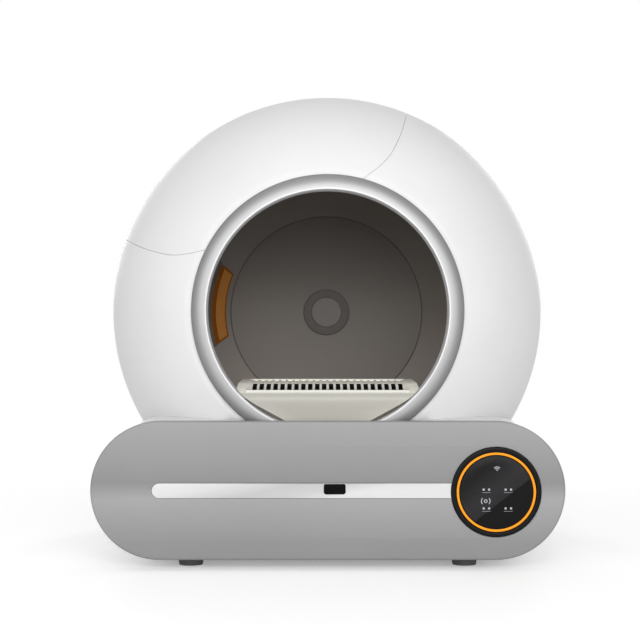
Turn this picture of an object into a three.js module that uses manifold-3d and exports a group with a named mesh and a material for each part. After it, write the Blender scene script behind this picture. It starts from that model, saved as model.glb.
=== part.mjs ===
// A self cleaning litter box: a globe on a low base, with a drum that turns inside it.
// Millimetres. X points right seen from the front, the front faces -Y, Z is up, the floor is Z 0.
// The globe and the drum share one axis, which runs along Y.

import * as THREE from 'three';
import { mergeVertices } from 'three/addons/utils/BufferGeometryUtils.js';
import Module from 'manifold-3d';

const wasm = await Module();
wasm.setup();

// Driving dimensions of the whole object
const globeDiameter = 564;
const baseHeight = 163.5;
const footHeight = 12.2;

// How the globe sits on its base: past the sides, and over a deck below the base's top
const baseSideInset = 2;
const deckDrop = 97.2;
const deckDrumGap = 2.5;

// Clearances shared by all pieces
const seatGap = 0.3;
const runningGap = 0.5;
const cutOverrun = 6;

// Globe: a thin wall, flat cut at the mouth and at the back, open below
const globeWall = 3;
const globeSplitReach = 47;
const skirtSink = 25.7;
const chinDepth = 18;

// Entry ring in the mouth of the globe
const ringOuterRadius = 163.2;
const ringWidth = 19.6;
const ringHeight = 9.8;
const ringCrest = 5;
const ringLip = 2.4;
const ringFlangeDepth = 4.9;
const ringCollarDepth = 10;

// Drum, its distance from the globe's wall, and the steps of its neck out from and back from the ring
const drumSpace = 54;
const drumWall = 3;
const neckStep = 6.4;
const neckSetback = 2;

// Places along the drum's axis as shares of its radius: the inner face of its flat back, and the ring gear
const backDiscShare = 0.78694;
const gearSeatShare = 0.4933;

// Drum bearing at the back
const hubShaftRadius = 12;
const hubShaftLength = 28;
const hubFlangeRadius = 30;
const hubFlangeThickness = 4;
const bearingSetback = 15.3;
const bearingThickness = 6;
const capClearance = 19;

// Ring gear and pinion
const gearModule = 6;
const gearRim = 14;
const pinionTeeth = 10;
const gearWidth = 12;
const pinionDeckGap = 2.8;

// Support rollers under the neck
const rollerRadius = 14;
const rollerWidth = 16;
const rollerSetback = 13;
const rollerAngle = THREE.MathUtils.degToRad(30);
const rollerAxleRadius = 3;

// Base body
const fasciaDepth = 16;
const fasciaGap = 2;
const displayProud = 2;
const rearPanelThickness = 8;
const rearSpace = 19;
const casingWall = 3;
const deckSideSpace = 87;
const deckWall = 3;

// Waste drawer
const drawerSideGap = 2;
const drawerWall = 2.5;
const drawerRimDrop = 5.2;
const bagFrameThickness = 2.6;

// Display, light strip and sensor window
const displayRadius = 52.8;
const displayDrop = 1.5;
const stripHeight = 17.6;
const stripInset = 72.6;
const sensorCentreX = 8.1;
const sensorWidth = 25.3;
const sensorHeight = 12.3;
const sensorRise = 2.1;

// Facets: counts of steps around each kind of round surface
const globeSteps = 44;
const drumSteps = 32;
const displaySteps = 24;
const roundSteps = 14;
const smallSteps = 8;

// Places that follow from the driving dimensions
const globeRadius = globeDiameter / 2;
const globeInnerRadius = globeRadius - globeWall;
const drumRadius = globeInnerRadius - drumSpace;
const drumInnerRadius = drumRadius - drumWall;
const ringInnerRadius = ringOuterRadius - ringWidth;
const mouthRadius = ringOuterRadius - ringLip;
const globeFrontReach = Math.sqrt(globeInnerRadius ** 2 - mouthRadius ** 2);
const backDiscReach = backDiscShare * drumInnerRadius;
const bearingReach = backDiscReach + drumWall + bearingSetback;
const globeRearReach = bearingReach + bearingThickness + capClearance;
const ringReach = globeFrontReach + seatGap + ringFlangeDepth + ringHeight;
const frontSpan = ringReach + fasciaGap + fasciaDepth + displayProud;
const overallDepth = frontSpan + globeRearReach + rearSpace;
const globeCentreY = frontSpan - overallDepth / 2;
const frontY = -overallDepth / 2;
const rearY = overallDepth / 2;
const baseWidth = globeDiameter - 2 * baseSideInset;
const fasciaFrontY = frontY + displayProud;
const fasciaRearY = fasciaFrontY + fasciaDepth;
const panelFrontY = rearY - rearPanelThickness;
const casingBottomZ = footHeight;
const baseCentreZ = casingBottomZ + baseHeight / 2;
const baseEndRadius = baseHeight / 2;
const baseEndX = baseWidth / 2 - baseEndRadius;
const casingFloorZ = casingBottomZ + casingWall;
const baseTopZ = casingBottomZ + baseHeight;
const deckTopZ = baseTopZ - deckDrop;
const deckBottomZ = deckTopZ - deckWall;
const deckWidth = baseWidth - 2 * deckSideSpace;
const globeCentreZ = deckTopZ + deckDrumGap + drumRadius;
const skirtDrop = globeCentreZ - (baseTopZ - skirtSink);
const chinReach = globeFrontReach - chinDepth;
const ringRearReach = globeFrontReach - ringCollarDepth;
const neckOuterRadius = ringInnerRadius + neckStep;
const neckReach = ringRearReach - neckSetback;
const rollerReach = neckReach - rollerSetback;
const stripLeftX = stripInset - baseWidth / 2;

// Materials
const finishes = {
  shellWhite: { color: 0xe4e4e2, roughness: 0.35, metalness: 0 },
  fasciaGrey: { color: 0xa3a3a3, roughness: 0.45, metalness: 0 },
  stripWhite: { color: 0xe2e2e2, roughness: 0.4, metalness: 0 },
  displayBlack: { color: 0x1f1e23, roughness: 0.1, metalness: 0 },
  lightAmber: { color: 0xffa523, roughness: 0.3, metalness: 0 },
  ringSilver: { color: 0xc6c6c6, roughness: 0.3, metalness: 0.9 },
  drumGrey: { color: 0x4b4743, roughness: 0.55, metalness: 0 },
  sieveAmber: { color: 0x6d481b, roughness: 0.45, metalness: 0 },
  stepWhite: { color: 0xc9c6bd, roughness: 0.4, metalness: 0 },
  footDark: { color: 0x3c3c3c, roughness: 0.8, metalness: 0 },
  plasticDark: { color: 0x2b2b2d, roughness: 0.6, metalness: 0 },
  steel: { color: 0x9a9ca0, roughness: 0.35, metalness: 1 },
  nylon: { color: 0xd9d4c4, roughness: 0.5, metalness: 0 },
  boardGreen: { color: 0x1e5a37, roughness: 0.5, metalness: 0 },
  felt: { color: 0x2f2f31, roughness: 1, metalness: 0 },
};

/** A closed body made from a geometry, its faces turned outwards. */
function solidOf(geometry) {
  const bare = geometry.clone();
  bare.deleteAttribute('normal');
  bare.deleteAttribute('uv');
  const merged = mergeVertices(bare);
  const places = merged.attributes.position;
  const corner = (i) => new THREE.Vector3().fromBufferAttribute(places, i);
  const triangles = [];
  let volume = 0;
  for (let i = 0; i < merged.index.count; i += 3) {
    const [a, b, c] = merged.index.array.slice(i, i + 3);
    if (a !== b && b !== c && c !== a) {
      triangles.push([a, b, c]);
      volume += corner(a).dot(corner(b).cross(corner(c)));
    }
  }
  if (volume < 0) triangles.forEach((triangle) => triangle.reverse());
  const triVerts = new Uint32Array(triangles.flat());
  return new wasm.Manifold(new wasm.Mesh({ numProp: 3, vertProperties: places.array, triVerts }));
}

/** The geometry of a closed body. */
function geometryOf(solid) {
  const mesh = solid.getMesh();
  const geometry = new THREE.BufferGeometry();
  geometry.setAttribute('position', new THREE.BufferAttribute(mesh.vertProperties, mesh.numProp));
  geometry.setIndex(new THREE.BufferAttribute(mesh.triVerts, 1));
  geometry.computeVertexNormals();
  return geometry;
}

/** A named mesh with its own material. */
function piece(name, solid, finish) {
  const mesh = new THREE.Mesh(geometryOf(solid), new THREE.MeshStandardMaterial(finish));
  mesh.name = name;
  return mesh;
}

/** A body turned about the Y axis from a profile of [radius, y] points. */
function turned(profile, steps = roundSteps) {
  const points = profile.map(([radius, y]) => new THREE.Vector2(radius, y));
  if (profile[0][0] > 0) points.push(points[0].clone());
  return solidOf(new THREE.LatheGeometry(points, steps));
}

/** Points [radius, y] on a sphere about the origin, between two depths. */
function spherePoints(radius, fromY, toY, steps) {
  const first = Math.acos(-fromY / radius);
  const last = Math.acos(-toY / radius);
  return Array.from({ length: steps + 1 }, (_, i) => {
    const angle = first + (last - first) * i / steps;
    return [radius * Math.sin(angle), -radius * Math.cos(angle)];
  });
}

/** A plain cylinder or a tube along Y. */
function round(outer, inner, fromY, toY, steps = roundSteps) {
  return turned([[inner, fromY], [outer, fromY], [outer, toY], [inner, toY]], steps);
}

/** The radius of a faceted bore that clears a round body turning in it. */
function runningBore(radius, gap, steps) {
  return (radius + gap) / Math.cos(Math.PI / steps);
}

/** A box between two corners. */
function block([x0, y0, z0], [x1, y1, z1]) {
  const box = new THREE.BoxGeometry(x1 - x0, y1 - y0, z1 - z0);
  return solidOf(box.translate((x0 + x1) / 2, (y0 + y1) / 2, (z0 + z1) / 2));
}

/** A prism with an outline in X and Z, between two depths in Y. */
function prismY(shape, fromY, toY, curveSegments = 8) {
  const options = { depth: toY - fromY, bevelEnabled: false, curveSegments };
  const prism = new THREE.ExtrudeGeometry(shape, options);
  return solidOf(prism.rotateX(Math.PI / 2).translate(0, toY, 0));
}

/** A prism with an outline in Y and Z, centred on X. */
function prismX(shape, width) {
  const prism = new THREE.ExtrudeGeometry(shape, { depth: width, bevelEnabled: false });
  const axes = [[0, 1, 0], [0, 0, 1], [1, 0, 0]].map((axis) => new THREE.Vector3(...axis));
  prism.applyMatrix4(new THREE.Matrix4().makeBasis(...axes));
  return solidOf(prism.translate(-width / 2, 0, 0));
}

/** A prism with a rounded front edge, outline in X and Z, between two depths in Y. */
function softPrismY(shape, fromY, toY, edge, steps = 2) {
  const depth = toY - fromY - edge + cutOverrun;
  const options = {
    depth, bevelThickness: edge, bevelSize: edge, bevelOffset: -edge,
    bevelSegments: steps, curveSegments: 10,
  };
  const prism = new THREE.ExtrudeGeometry(shape, options);
  const solid = solidOf(prism.rotateX(Math.PI / 2).translate(0, fromY + edge + depth, 0));
  return solid.subtract(block([-baseWidth, toY, -baseWidth], [baseWidth, rearY + baseWidth, baseWidth]));
}

/** A closed outline through points. */
function outline(points) {
  return new THREE.Shape(points.map(([x, y]) => new THREE.Vector2(x, y)));
}

/** A rectangle with half-round ends, lying along X. */
function stadium(width, height, centreX = 0, centreZ = 0) {
  const radius = height / 2;
  const reach = width / 2 - radius;
  const shape = new THREE.Shape();
  shape.absarc(centreX + reach, centreZ, radius, -Math.PI / 2, Math.PI / 2, false);
  shape.absarc(centreX - reach, centreZ, radius, Math.PI / 2, Math.PI * 3 / 2, false);
  return shape;
}

/** A wedge about the Y axis, between two angles from +X towards +Z. */
function wedge(fromAngle, toAngle, fromY, toY, reach) {
  const middle = (fromAngle + toAngle) / 2;
  const corner = (angle) => [reach * Math.cos(angle), reach * Math.sin(angle)];
  const far = corner(middle).map((value) => value * 2);
  return prismY(outline([[0, 0], corner(fromAngle), far, corner(toAngle)]), fromY, toY);
}

/** A body moved to a place. */
function moved(solid, x, y, z) {
  return solid.translate([x, y, z]);
}

// Globe shells and the lift off hatch, about the centre of the globe

const frontShellSteps = 8;
const rearShellSteps = 5;

/** The sphere wall of the globe between two depths. */
function globeWallBetween(frontReach, rearReach, steps) {
  return turned([
    ...spherePoints(globeRadius, frontReach, rearReach, steps),
    ...spherePoints(globeInnerRadius, rearReach, frontReach, steps),
  ], globeSteps);
}

const hatchAngle = THREE.MathUtils.degToRad(114.3);
const hatchGap = 0.5;
// Seam of the hatch as shares of the globe radius: across the hatch, and along its lift
const hatchSeamShares = [
  [0.365, 0.447], [0.472, 0.475], [0.532, 0.504], [0.631, 0.589], [0.727, 0.702],
  [0.798, 0.787], [0.798, 1.1],
];

/** The outline of the hatch, drawn in from its opening by a gap. */
function hatchOutline(gap) {
  const side = hatchSeamShares.map(([across, along]) => [
    across * globeRadius - gap, along * globeRadius + gap,
  ]);
  const other = side.map(([across, along]) => [-across, along]).reverse();
  const [sine, cosine] = [Math.sin(hatchAngle), Math.cos(hatchAngle)];
  return outline([...side, ...other].map(([across, along]) => [
    across * sine + along * cosine, -across * cosine + along * sine,
  ]));
}

/** All of the globe above the edge that stands inside the base, with the chin under the mouth. */
function aboveSkirt() {
  const far = globeDiameter;
  const chinEnd = deckTopZ + seatGap - globeCentreZ;
  const chin = block([-far, -far, chinEnd], [far, -chinReach, 0]);
  return block([-far, -far, -skirtDrop], [far, far, far]).add(chin);
}

/** The front shell, open where the hatch lies and clear of the uprights of the rollers. */
function shellFront() {
  const wall = globeWallBetween(-globeFrontReach, globeSplitReach - seatGap, frontShellSteps);
  const opening = prismY(hatchOutline(0), -globeDiameter, globeDiameter);
  return wall.intersect(aboveSkirt()).subtract(opening).subtract(rollerBays());
}

/** The quarter of the globe that lifts off. */
function hatch() {
  const wall = globeWallBetween(-globeFrontReach, globeSplitReach - seatGap, frontShellSteps);
  return wall.intersect(prismY(hatchOutline(hatchGap), -globeDiameter, globeDiameter));
}

/** The rear shell. */
function shellRear() {
  return globeWallBetween(globeSplitReach, globeRearReach, rearShellSteps).intersect(aboveSkirt());
}

const capThickness = 3;
const capFlangeDepth = 4;
const capFlangeEdge = 1.2;
const ventHeight = 5;
const ventPitch = 13;
const ventWidth = 130;
const ventTaper = 22;
const ventInset = 27.1;
const ventRows = 5;

/** The vented cap that closes the back of the globe. */
function rearCap() {
  const opening = Math.sqrt(globeInnerRadius ** 2 - globeRearReach ** 2);
  const mouth = opening - seatGap;
  const flangeRear = globeRearReach - capThickness;
  const flange = Math.sqrt(globeInnerRadius ** 2 - flangeRear ** 2) - capFlangeEdge;
  let cap = turned([
    [0, flangeRear - seatGap], [flange - capFlangeDepth, flangeRear - seatGap],
    [flange - capFlangeDepth, flangeRear - capFlangeDepth], [flange, flangeRear - capFlangeDepth],
    [flange, flangeRear], [mouth, flangeRear], [mouth, globeRearReach], [0, globeRearReach],
  ], globeSteps);
  for (let row = 0; row < ventRows; row += 1) {
    const rise = opening - ventInset - (ventRows - 1 - row) * ventPitch;
    const slot = stadium(ventWidth - row * ventTaper, ventHeight, 0, rise);
    cap = cap.subtract(prismY(slot, 0, globeRadius, 3));
  }
  return cap;
}

/** The rounded ring around the entrance, highest near the opening, with a collar inside the globe. */
function entryRing() {
  const flangeY = -globeFrontReach - seatGap;
  const noseY = flangeY - ringFlangeDepth;
  const noseSteps = 4;
  const profile = [
    [ringInnerRadius, -ringRearReach], [mouthRadius - seatGap, -ringRearReach],
    [mouthRadius - seatGap, flangeY], [ringOuterRadius, flangeY],
  ];
  for (let i = 0; i <= noseSteps; i += 1) {
    const angle = Math.PI * i / noseSteps;
    const width = i < noseSteps / 2 ? ringWidth - ringCrest : ringCrest;
    profile.push([
      ringInnerRadius + ringCrest + width * Math.cos(angle), noseY - ringHeight * Math.sin(angle),
    ]);
  }
  return turned(profile, globeSteps);
}

const sealThickness = 6.5;
const sealDepth = 9;

/** The felt ring that wraps the turning neck behind the entry ring. */
function mouthSeal() {
  const bore = runningBore(neckOuterRadius, runningGap, drumSteps);
  const front = -ringRearReach + seatGap;
  return round(bore + sealThickness, bore, front, front + sealDepth, drumSteps);
}

// Drum, about the centre of the globe

const portStart = THREE.MathUtils.degToRad(102);
const portEnd = THREE.MathUtils.degToRad(142);
const portFront = 78;
const portRear = 72;

/** The waste port, as a body to cut out of the drum. */
function wastePort() {
  return wedge(portStart, portEnd, -portFront, portRear, drumRadius + cutOverrun);
}

const drumHalfSteps = 6;

/** Points [radius, y] on the inside of the drum's front half, from the neck to the joint. */
function frontInside() {
  const neck = Math.sqrt(drumInnerRadius ** 2 - (neckOuterRadius - drumWall) ** 2);
  return spherePoints(drumInnerRadius, -neck, -seatGap / 2, drumHalfSteps);
}

/** Points [radius, y] on the inside of the drum's rear half, from the joint to the back. */
function rearInside() {
  return spherePoints(drumInnerRadius, seatGap / 2, backDiscReach, drumHalfSteps);
}

/** The front half of the drum with its neck. */
function drumFront() {
  const neck = Math.sqrt(drumRadius ** 2 - neckOuterRadius ** 2);
  return turned([
    [neckOuterRadius, -neckReach], ...spherePoints(drumRadius, -neck, -seatGap / 2, drumHalfSteps),
    ...frontInside().reverse(), [neckOuterRadius - drumWall, -neckReach],
  ], drumSteps).subtract(wastePort());
}

/** The rear half of the drum with its flat back. */
function drumRear() {
  const bore = hubShaftRadius + seatGap;
  const back = backDiscReach + drumWall;
  return turned([
    ...spherePoints(drumRadius, seatGap / 2, back, drumHalfSteps), [bore, back],
    [bore, backDiscReach], ...rearInside().reverse(),
  ], drumSteps).subtract(wastePort());
}

const hubCapRadius = 32.7;
const hubCapThickness = 2.8;
const hubCapEdge = 1.2;
const hubBossRadius = 20.9;
const hubBossRise = 1.6;

/** The round cover over the hub inside the drum. */
function hubCap() {
  const seat = backDiscReach - seatGap;
  const face = seat - hubCapThickness;
  return turned([
    [0, face - hubBossRise], [hubBossRadius, face - hubBossRise], [hubBossRadius + hubCapEdge, face],
    [hubCapRadius - hubCapEdge, face], [hubCapRadius, face + hubCapEdge], [hubCapRadius, seat], [0, seat],
  ], roundSteps);
}

/** The flanged shaft that carries the back of the drum. */
function hubShaft() {
  const front = backDiscReach + seatGap;
  const flangeFront = backDiscReach + drumWall + seatGap;
  const flangeRear = flangeFront + hubFlangeThickness;
  const end = front + hubShaftLength;
  return turned([
    [0, front], [hubShaftRadius, front], [hubShaftRadius, flangeFront], [hubFlangeRadius, flangeFront],
    [hubFlangeRadius, flangeRear], [hubShaftRadius, flangeRear], [hubShaftRadius, end], [0, end],
  ], roundSteps);
}

// Teeth: heights as shares of the module, and half widths as shares of the tooth pitch
const toothAddendumShare = 0.72;
const toothDedendumShare = 1;
const toothRootShare = 0.31;
const toothTipShare = 0.12;

/** The outline of a toothed wheel, with the middle of one tooth at the given angle. */
function toothedOutline(teeth, phase) {
  const pitchRadius = gearModule * teeth / 2;
  const tip = pitchRadius + gearModule * toothAddendumShare;
  const root = pitchRadius - gearModule * toothDedendumShare;
  const pitch = 2 * Math.PI / teeth;
  const points = [];
  for (let tooth = 0; tooth < teeth; tooth += 1) {
    const middle = phase + tooth * pitch;
    for (const [radius, share] of [
      [root, -toothRootShare], [tip, -toothTipShare], [tip, toothTipShare], [root, toothRootShare],
    ]) {
      const angle = middle + share * pitch;
      points.push([radius * Math.cos(angle), radius * Math.sin(angle)]);
    }
  }
  return outline(points);
}

const gearReach = gearSeatShare * drumRadius;
const ringBore = Math.sqrt(drumRadius ** 2 - gearReach ** 2) + seatGap;
const ringTeeth = Math.round(2 * (ringBore + gearRim) / gearModule);
const pinionDistance = gearModule * (ringTeeth + pinionTeeth) / 2;
const pinionTip = gearModule * (pinionTeeth / 2 + toothAddendumShare);
const pinionDrop = globeCentreZ - deckTopZ - pinionDeckGap - pinionTip;
const pinionAngle = -Math.asin(pinionDrop / pinionDistance);

/** The large gear around the drum. */
function ringGear() {
  const [front, rear] = [gearReach, gearReach + gearWidth];
  const wheel = prismY(toothedOutline(ringTeeth, pinionAngle), front, rear);
  return wheel.subtract(round(ringBore, 0, front - cutOverrun, rear + cutOverrun, drumSteps));
}

const sieveStart = THREE.MathUtils.degToRad(153);
const sieveEnd = THREE.MathUtils.degToRad(197);
const sieveBorder = THREE.MathUtils.degToRad(2.6);
const sieveWall = 2.5;
const sieveFrontBar = 40.7;
const sieveRearBar = 25.2;
// Section of the sieve from back to front, radius and depth as shares of the drum's inner radius
const sieveSectionShares = [
  [0.636, 0.753], [0.692, 0.703], [0.765, 0.617], [0.808, 0.482],
  [0.829, 0.212], [0.829, -0.194], [0.775, -0.464], [0.72, -0.76],
];
const sieveSlotLength = 34;
const sieveSlotWidth = 10;
const sieveSlotRows = 5;
const sieveSlotColumns = 4;
const [sieveRearShare, sieveFrontShare] = [sieveSectionShares[0][1], sieveSectionShares.at(-1)[1]];
const sieveFieldFront = -sieveFrontShare * drumInnerRadius - sieveFrontBar;
const sieveFieldRear = sieveRearShare * drumInnerRadius - sieveRearBar;

/** All that lies outside the sieve's face, set back by an offset. */
function behindSieve(offset) {
  const face = sieveSectionShares.map(([radius, y]) => [
    radius * drumInnerRadius + offset, y * drumInnerRadius,
  ]);
  const [backY, frontY] = [face[0][1], face[face.length - 1][1]];
  return turned([...face, [drumRadius, frontY], [drumRadius, backY]], drumSteps);
}

/** The space inside the drum, a gap off its wall. */
function drumInterior() {
  const scale = (drumInnerRadius - seatGap) / drumInnerRadius;
  const inside = [...frontInside(), ...rearInside()].map(([radius, y]) => [radius * scale, y * scale]);
  const last = inside[inside.length - 1][1];
  return turned([[0, inside[0][1]], ...inside, [0, last]], drumSteps);
}

/** The part of the sieve that lies inside its border, reaching a little into it or not. */
function sieveField(reach) {
  const border = sieveBorder - reach / drumRadius;
  return wedge(
    sieveStart + border, sieveEnd - border, -sieveFieldFront - reach, sieveFieldRear + reach, globeDiameter,
  );
}

/** The frame around the sieve, with its two end walls. */
function sieveFrame() {
  const [start, end] = [sieveStart + sieveBorder, sieveEnd - sieveBorder];
  const span = wedge(sieveStart, sieveEnd, -drumRadius, drumRadius, globeDiameter);
  const between = wedge(start, end, -drumRadius, drumRadius, globeDiameter);
  const hollow = behindSieve(sieveWall).intersect(between).add(sieveField(0));
  return behindSieve(0).intersect(drumInterior()).intersect(span).subtract(hollow);
}

/** The slotted screen that lets clean litter through. */
function sieveScreen() {
  let screen = behindSieve(0).subtract(behindSieve(sieveWall)).intersect(sieveField(-seatGap));
  for (let row = 0; row < sieveSlotRows; row += 1) {
    for (let column = 0; column < sieveSlotColumns; column += 1) {
      const y = -sieveFieldFront + (sieveFieldRear + sieveFieldFront) * (row + 0.5) / sieveSlotRows;
      const angle = sieveStart + (sieveEnd - sieveStart) * (column + 0.5) / sieveSlotColumns;
      const slot = new THREE.BoxGeometry(drumRadius, sieveSlotLength, sieveSlotWidth);
      screen = screen.subtract(solidOf(slot.translate(drumRadius, y, 0).rotateY(-angle)));
    }
  }
  return screen;
}

const magnetRadius = 5;
const magnetLength = 4;
const magnetDrop = 70;

/** The magnet on the back of the drum that marks its home position. */
function homeMagnet() {
  const front = backDiscReach + drumWall + seatGap;
  return moved(round(magnetRadius, 0, front, front + magnetLength, smallSteps), 0, 0, -magnetDrop);
}

// Base body, in the frame of the whole object

/** The space of the globe down to its skirt, and of its ring, a gap wider than the shells' facets. */
function globeEnvelope() {
  const scale = (globeRadius + seatGap) / globeRadius;
  const section = [
    ...spherePoints(globeRadius, -globeFrontReach, globeSplitReach - seatGap, frontShellSteps),
    ...spherePoints(globeRadius, globeSplitReach, globeRearReach, rearShellSteps),
  ].map(([radius, y]) => [radius * scale, y * scale]);
  const [ring, mouth, back] = [ringOuterRadius + seatGap, section[0][1], section[section.length - 1][1]];
  const ball = turned([[0, mouth], ...section, [0, back]], globeSteps);
  const below = block([-globeDiameter, mouth, -globeDiameter], [globeDiameter, back, -skirtDrop - seatGap]);
  const envelope = ball.subtract(below).add(round(ring, 0, frontY - globeCentreY, mouth, globeSteps));
  return moved(envelope, 0, globeCentreY, globeCentreZ);
}

const bossRadius = 6;
const bossSink = 1.5;
const bossLength = 34;
const screwAngle = THREE.MathUtils.degToRad(35);
const screwRadius = 1.8;
const screwLength = 24;
const screwHeadRadius = 4;
const screwHeadDepth = 2.6;

/** The places [x, z] of the four screws that hold the rear panel. */
function screwPlaces() {
  const reach = baseEndRadius - casingWall - bossRadius + bossSink;
  const x = baseEndX + reach * Math.cos(screwAngle);
  const z = reach * Math.sin(screwAngle);
  return [[x, baseCentreZ + z], [-x, baseCentreZ + z], [-x, baseCentreZ - z], [x, baseCentreZ - z]];
}

/** The long shell of the base, open where the globe sinks into it. */
function baseCasing() {
  const front = fasciaRearY + seatGap;
  const rear = panelFrontY - seatGap;
  const inside = stadium(baseWidth - 2 * casingWall, baseHeight - 2 * casingWall, 0, baseCentreZ);
  let casing = prismY(stadium(baseWidth, baseHeight, 0, baseCentreZ), front, rear, 10);
  casing = casing.subtract(prismY(inside, front - cutOverrun, rear + cutOverrun, 10));
  for (const [x, z] of screwPlaces()) {
    casing = casing.add(moved(round(bossRadius, 0, rear - bossLength, rear, smallSteps), x, 0, z));
    const bore = round(screwRadius + seatGap, 0, rear - screwLength, rear + cutOverrun, smallSteps);
    casing = casing.subtract(moved(bore, x, 0, z));
  }
  return casing.subtract(globeEnvelope());
}

/** One screw of the rear panel, sunk in the panel's face. */
function panelScrew() {
  const rear = rearY - seatGap;
  const neck = rear - screwHeadDepth;
  const tip = neck - screwLength + seatGap;
  return turned([
    [0, tip], [screwRadius, tip], [screwRadius, neck], [screwHeadRadius, neck],
    [screwHeadRadius, rear], [0, rear],
  ], smallSteps);
}

const drawerHalfWidth = deckWidth / 2 - deckWall - drawerSideGap;
const drawerBottomZ = casingFloorZ + seatGap;
const drawerRimZ = deckBottomZ - drawerRimDrop;
const drawerFrontTopZ = drawerRimZ + bagFrameThickness + 2 * seatGap;
const panelEdge = 2.5;

const inletInset = 55;
const inletRise = 47.8;
const inletRadius = 9;
const inletBoreRadius = 5;
const inletBoreDepth = 11;
const inletPinRadius = 1;
const inletPinSetback = 5;
const inletDepth = 14;
const inletX = baseWidth / 2 - inletInset;
const inletZ = casingBottomZ + inletRise;

/** The rear panel with the drawer's window, the screws' seats and the inlet's hole. */
function rearPanel() {
  const shape = stadium(baseWidth, baseHeight, 0, baseCentreZ);
  let panel = softPrismY(shape, -rearY, -panelFrontY, panelEdge).mirror([0, 1, 0]);
  const window = drawerHalfWidth + seatGap;
  const [front, rear] = [panelFrontY - cutOverrun, rearY + cutOverrun];
  panel = panel.subtract(block([-window, front, casingFloorZ], [window, rear, drawerFrontTopZ + seatGap]));
  panel = panel.subtract(moved(round(inletRadius + seatGap, 0, front, rear, smallSteps), inletX, 0, inletZ));
  const seat = rearY - screwHeadDepth - 2 * seatGap;
  for (const [x, z] of screwPlaces()) {
    panel = panel.subtract(moved(round(screwRadius + seatGap, 0, front, rear, smallSteps), x, 0, z));
    panel = panel.subtract(moved(round(screwHeadRadius + seatGap, 0, seat, rear, smallSteps), x, 0, z));
  }
  return panel;
}

/** The barrel inlet for the power supply. */
function dcInlet() {
  const front = rearY - inletDepth;
  const floor = rearY - inletBoreDepth;
  const pinEnd = rearY - inletPinSetback;
  return moved(turned([
    [0, front], [inletRadius, front], [inletRadius, rearY], [inletBoreRadius, rearY],
    [inletBoreRadius, floor], [inletPinRadius, floor], [inletPinRadius, pinEnd], [0, pinEnd],
  ], smallSteps), inletX, 0, inletZ);
}

const deckEndGap = 7;
const chuteHalfWidth = 110;
const chuteHalfLength = 100;

/** The bridge over the drawer that carries the works, with the waste chute through it. */
function chassisDeck() {
  const half = deckWidth / 2;
  const front = fasciaRearY + deckEndGap;
  const rear = panelFrontY - deckEndGap;
  const channel = block(
    [-half + deckWall, front - cutOverrun, casingBottomZ], [half - deckWall, rear + cutOverrun, deckBottomZ],
  );
  const chute = block(
    [-chuteHalfWidth, globeCentreY - chuteHalfLength, casingBottomZ],
    [chuteHalfWidth, globeCentreY + chuteHalfLength, deckTopZ + cutOverrun],
  );
  const body = block([-half, front, casingFloorZ + seatGap], [half, rear, deckTopZ]);
  return body.subtract(channel).subtract(chute);
}

// Front of the base: fascia, light strip, sensor and display

const fasciaEdge = 3;
const fasciaFace = 5;
const fasciaSide = 3.5;
const stripSeatDepth = 3;
const stripProud = 0.6;
const stripBehindDisplay = 20;
const sensorCorner = 3;
const sensorSetback = 0.3;
const displayX = baseEndX;
const displayZ = baseCentreZ - displayDrop;

/** A rectangle with round corners about a centre. */
function roundedRectangle(width, height, corner, centreX, centreZ) {
  const [x, z] = [width / 2 - corner, height / 2 - corner];
  const shape = new THREE.Shape();
  shape.absarc(centreX + x, centreZ + z, corner, 0, Math.PI / 2, false);
  shape.absarc(centreX - x, centreZ + z, corner, Math.PI / 2, Math.PI, false);
  shape.absarc(centreX - x, centreZ - z, corner, Math.PI, Math.PI * 3 / 2, false);
  shape.absarc(centreX + x, centreZ - z, corner, Math.PI * 3 / 2, Math.PI * 2, false);
  return shape;
}

/** A cylinder along Y about the display's centre. */
function displayRound(radius, fromY, toY) {
  return moved(round(radius, 0, fromY, toY, displaySteps), displayX, 0, displayZ);
}

/** The light strip's outline as a prism, up to the display, grown by a gap. */
function stripPrism(gap, fromY, toY) {
  const rightX = displayX - displayRadius + stripBehindDisplay;
  const width = rightX - stripLeftX + 2 * gap;
  const shape = stadium(width, stripHeight + 2 * gap, stripLeftX + width / 2 - gap, baseCentreZ);
  return prismY(shape, fromY, toY, 6);
}

/** The sensor window's outline as a prism, grown by a gap. */
function sensorPrism(gap, fromY, toY) {
  const shape = roundedRectangle(
    sensorWidth + 2 * gap, sensorHeight + 2 * gap, sensorCorner, sensorCentreX, baseCentreZ + sensorRise,
  );
  return prismY(shape, fromY, toY, 2);
}

/** The front plate of the base, hollow behind. */
function fascia() {
  const behind = fasciaFrontY + fasciaFace;
  const hollow = stadium(baseWidth - 2 * fasciaSide, baseHeight - 2 * fasciaSide, 0, baseCentreZ);
  return softPrismY(stadium(baseWidth, baseHeight, 0, baseCentreZ), fasciaFrontY, fasciaRearY, fasciaEdge)
    .subtract(prismY(hollow, behind, fasciaRearY + cutOverrun, 10))
    .subtract(stripPrism(seatGap, frontY - cutOverrun, fasciaFrontY + stripSeatDepth))
    .subtract(sensorPrism(-sensorCorner / 2, frontY, fasciaRearY))
    .subtract(displayRound(displayRadius + seatGap, frontY - cutOverrun, fasciaRearY + cutOverrun));
}

/** The pale strip across the fascia. */
function lightStrip() {
  const rear = fasciaFrontY + stripSeatDepth - seatGap;
  return stripPrism(0, fasciaFrontY - stripProud, rear)
    .subtract(sensorPrism(seatGap, frontY - cutOverrun, fasciaRearY))
    .subtract(displayRound(displayRadius + seatGap, frontY - cutOverrun, fasciaRearY));
}

/** The dark window of the sensor in the strip. */
function sensorWindow() {
  const front = fasciaFrontY - stripProud + sensorSetback;
  return sensorPrism(0, front, fasciaFrontY + stripSeatDepth - seatGap);
}

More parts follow.
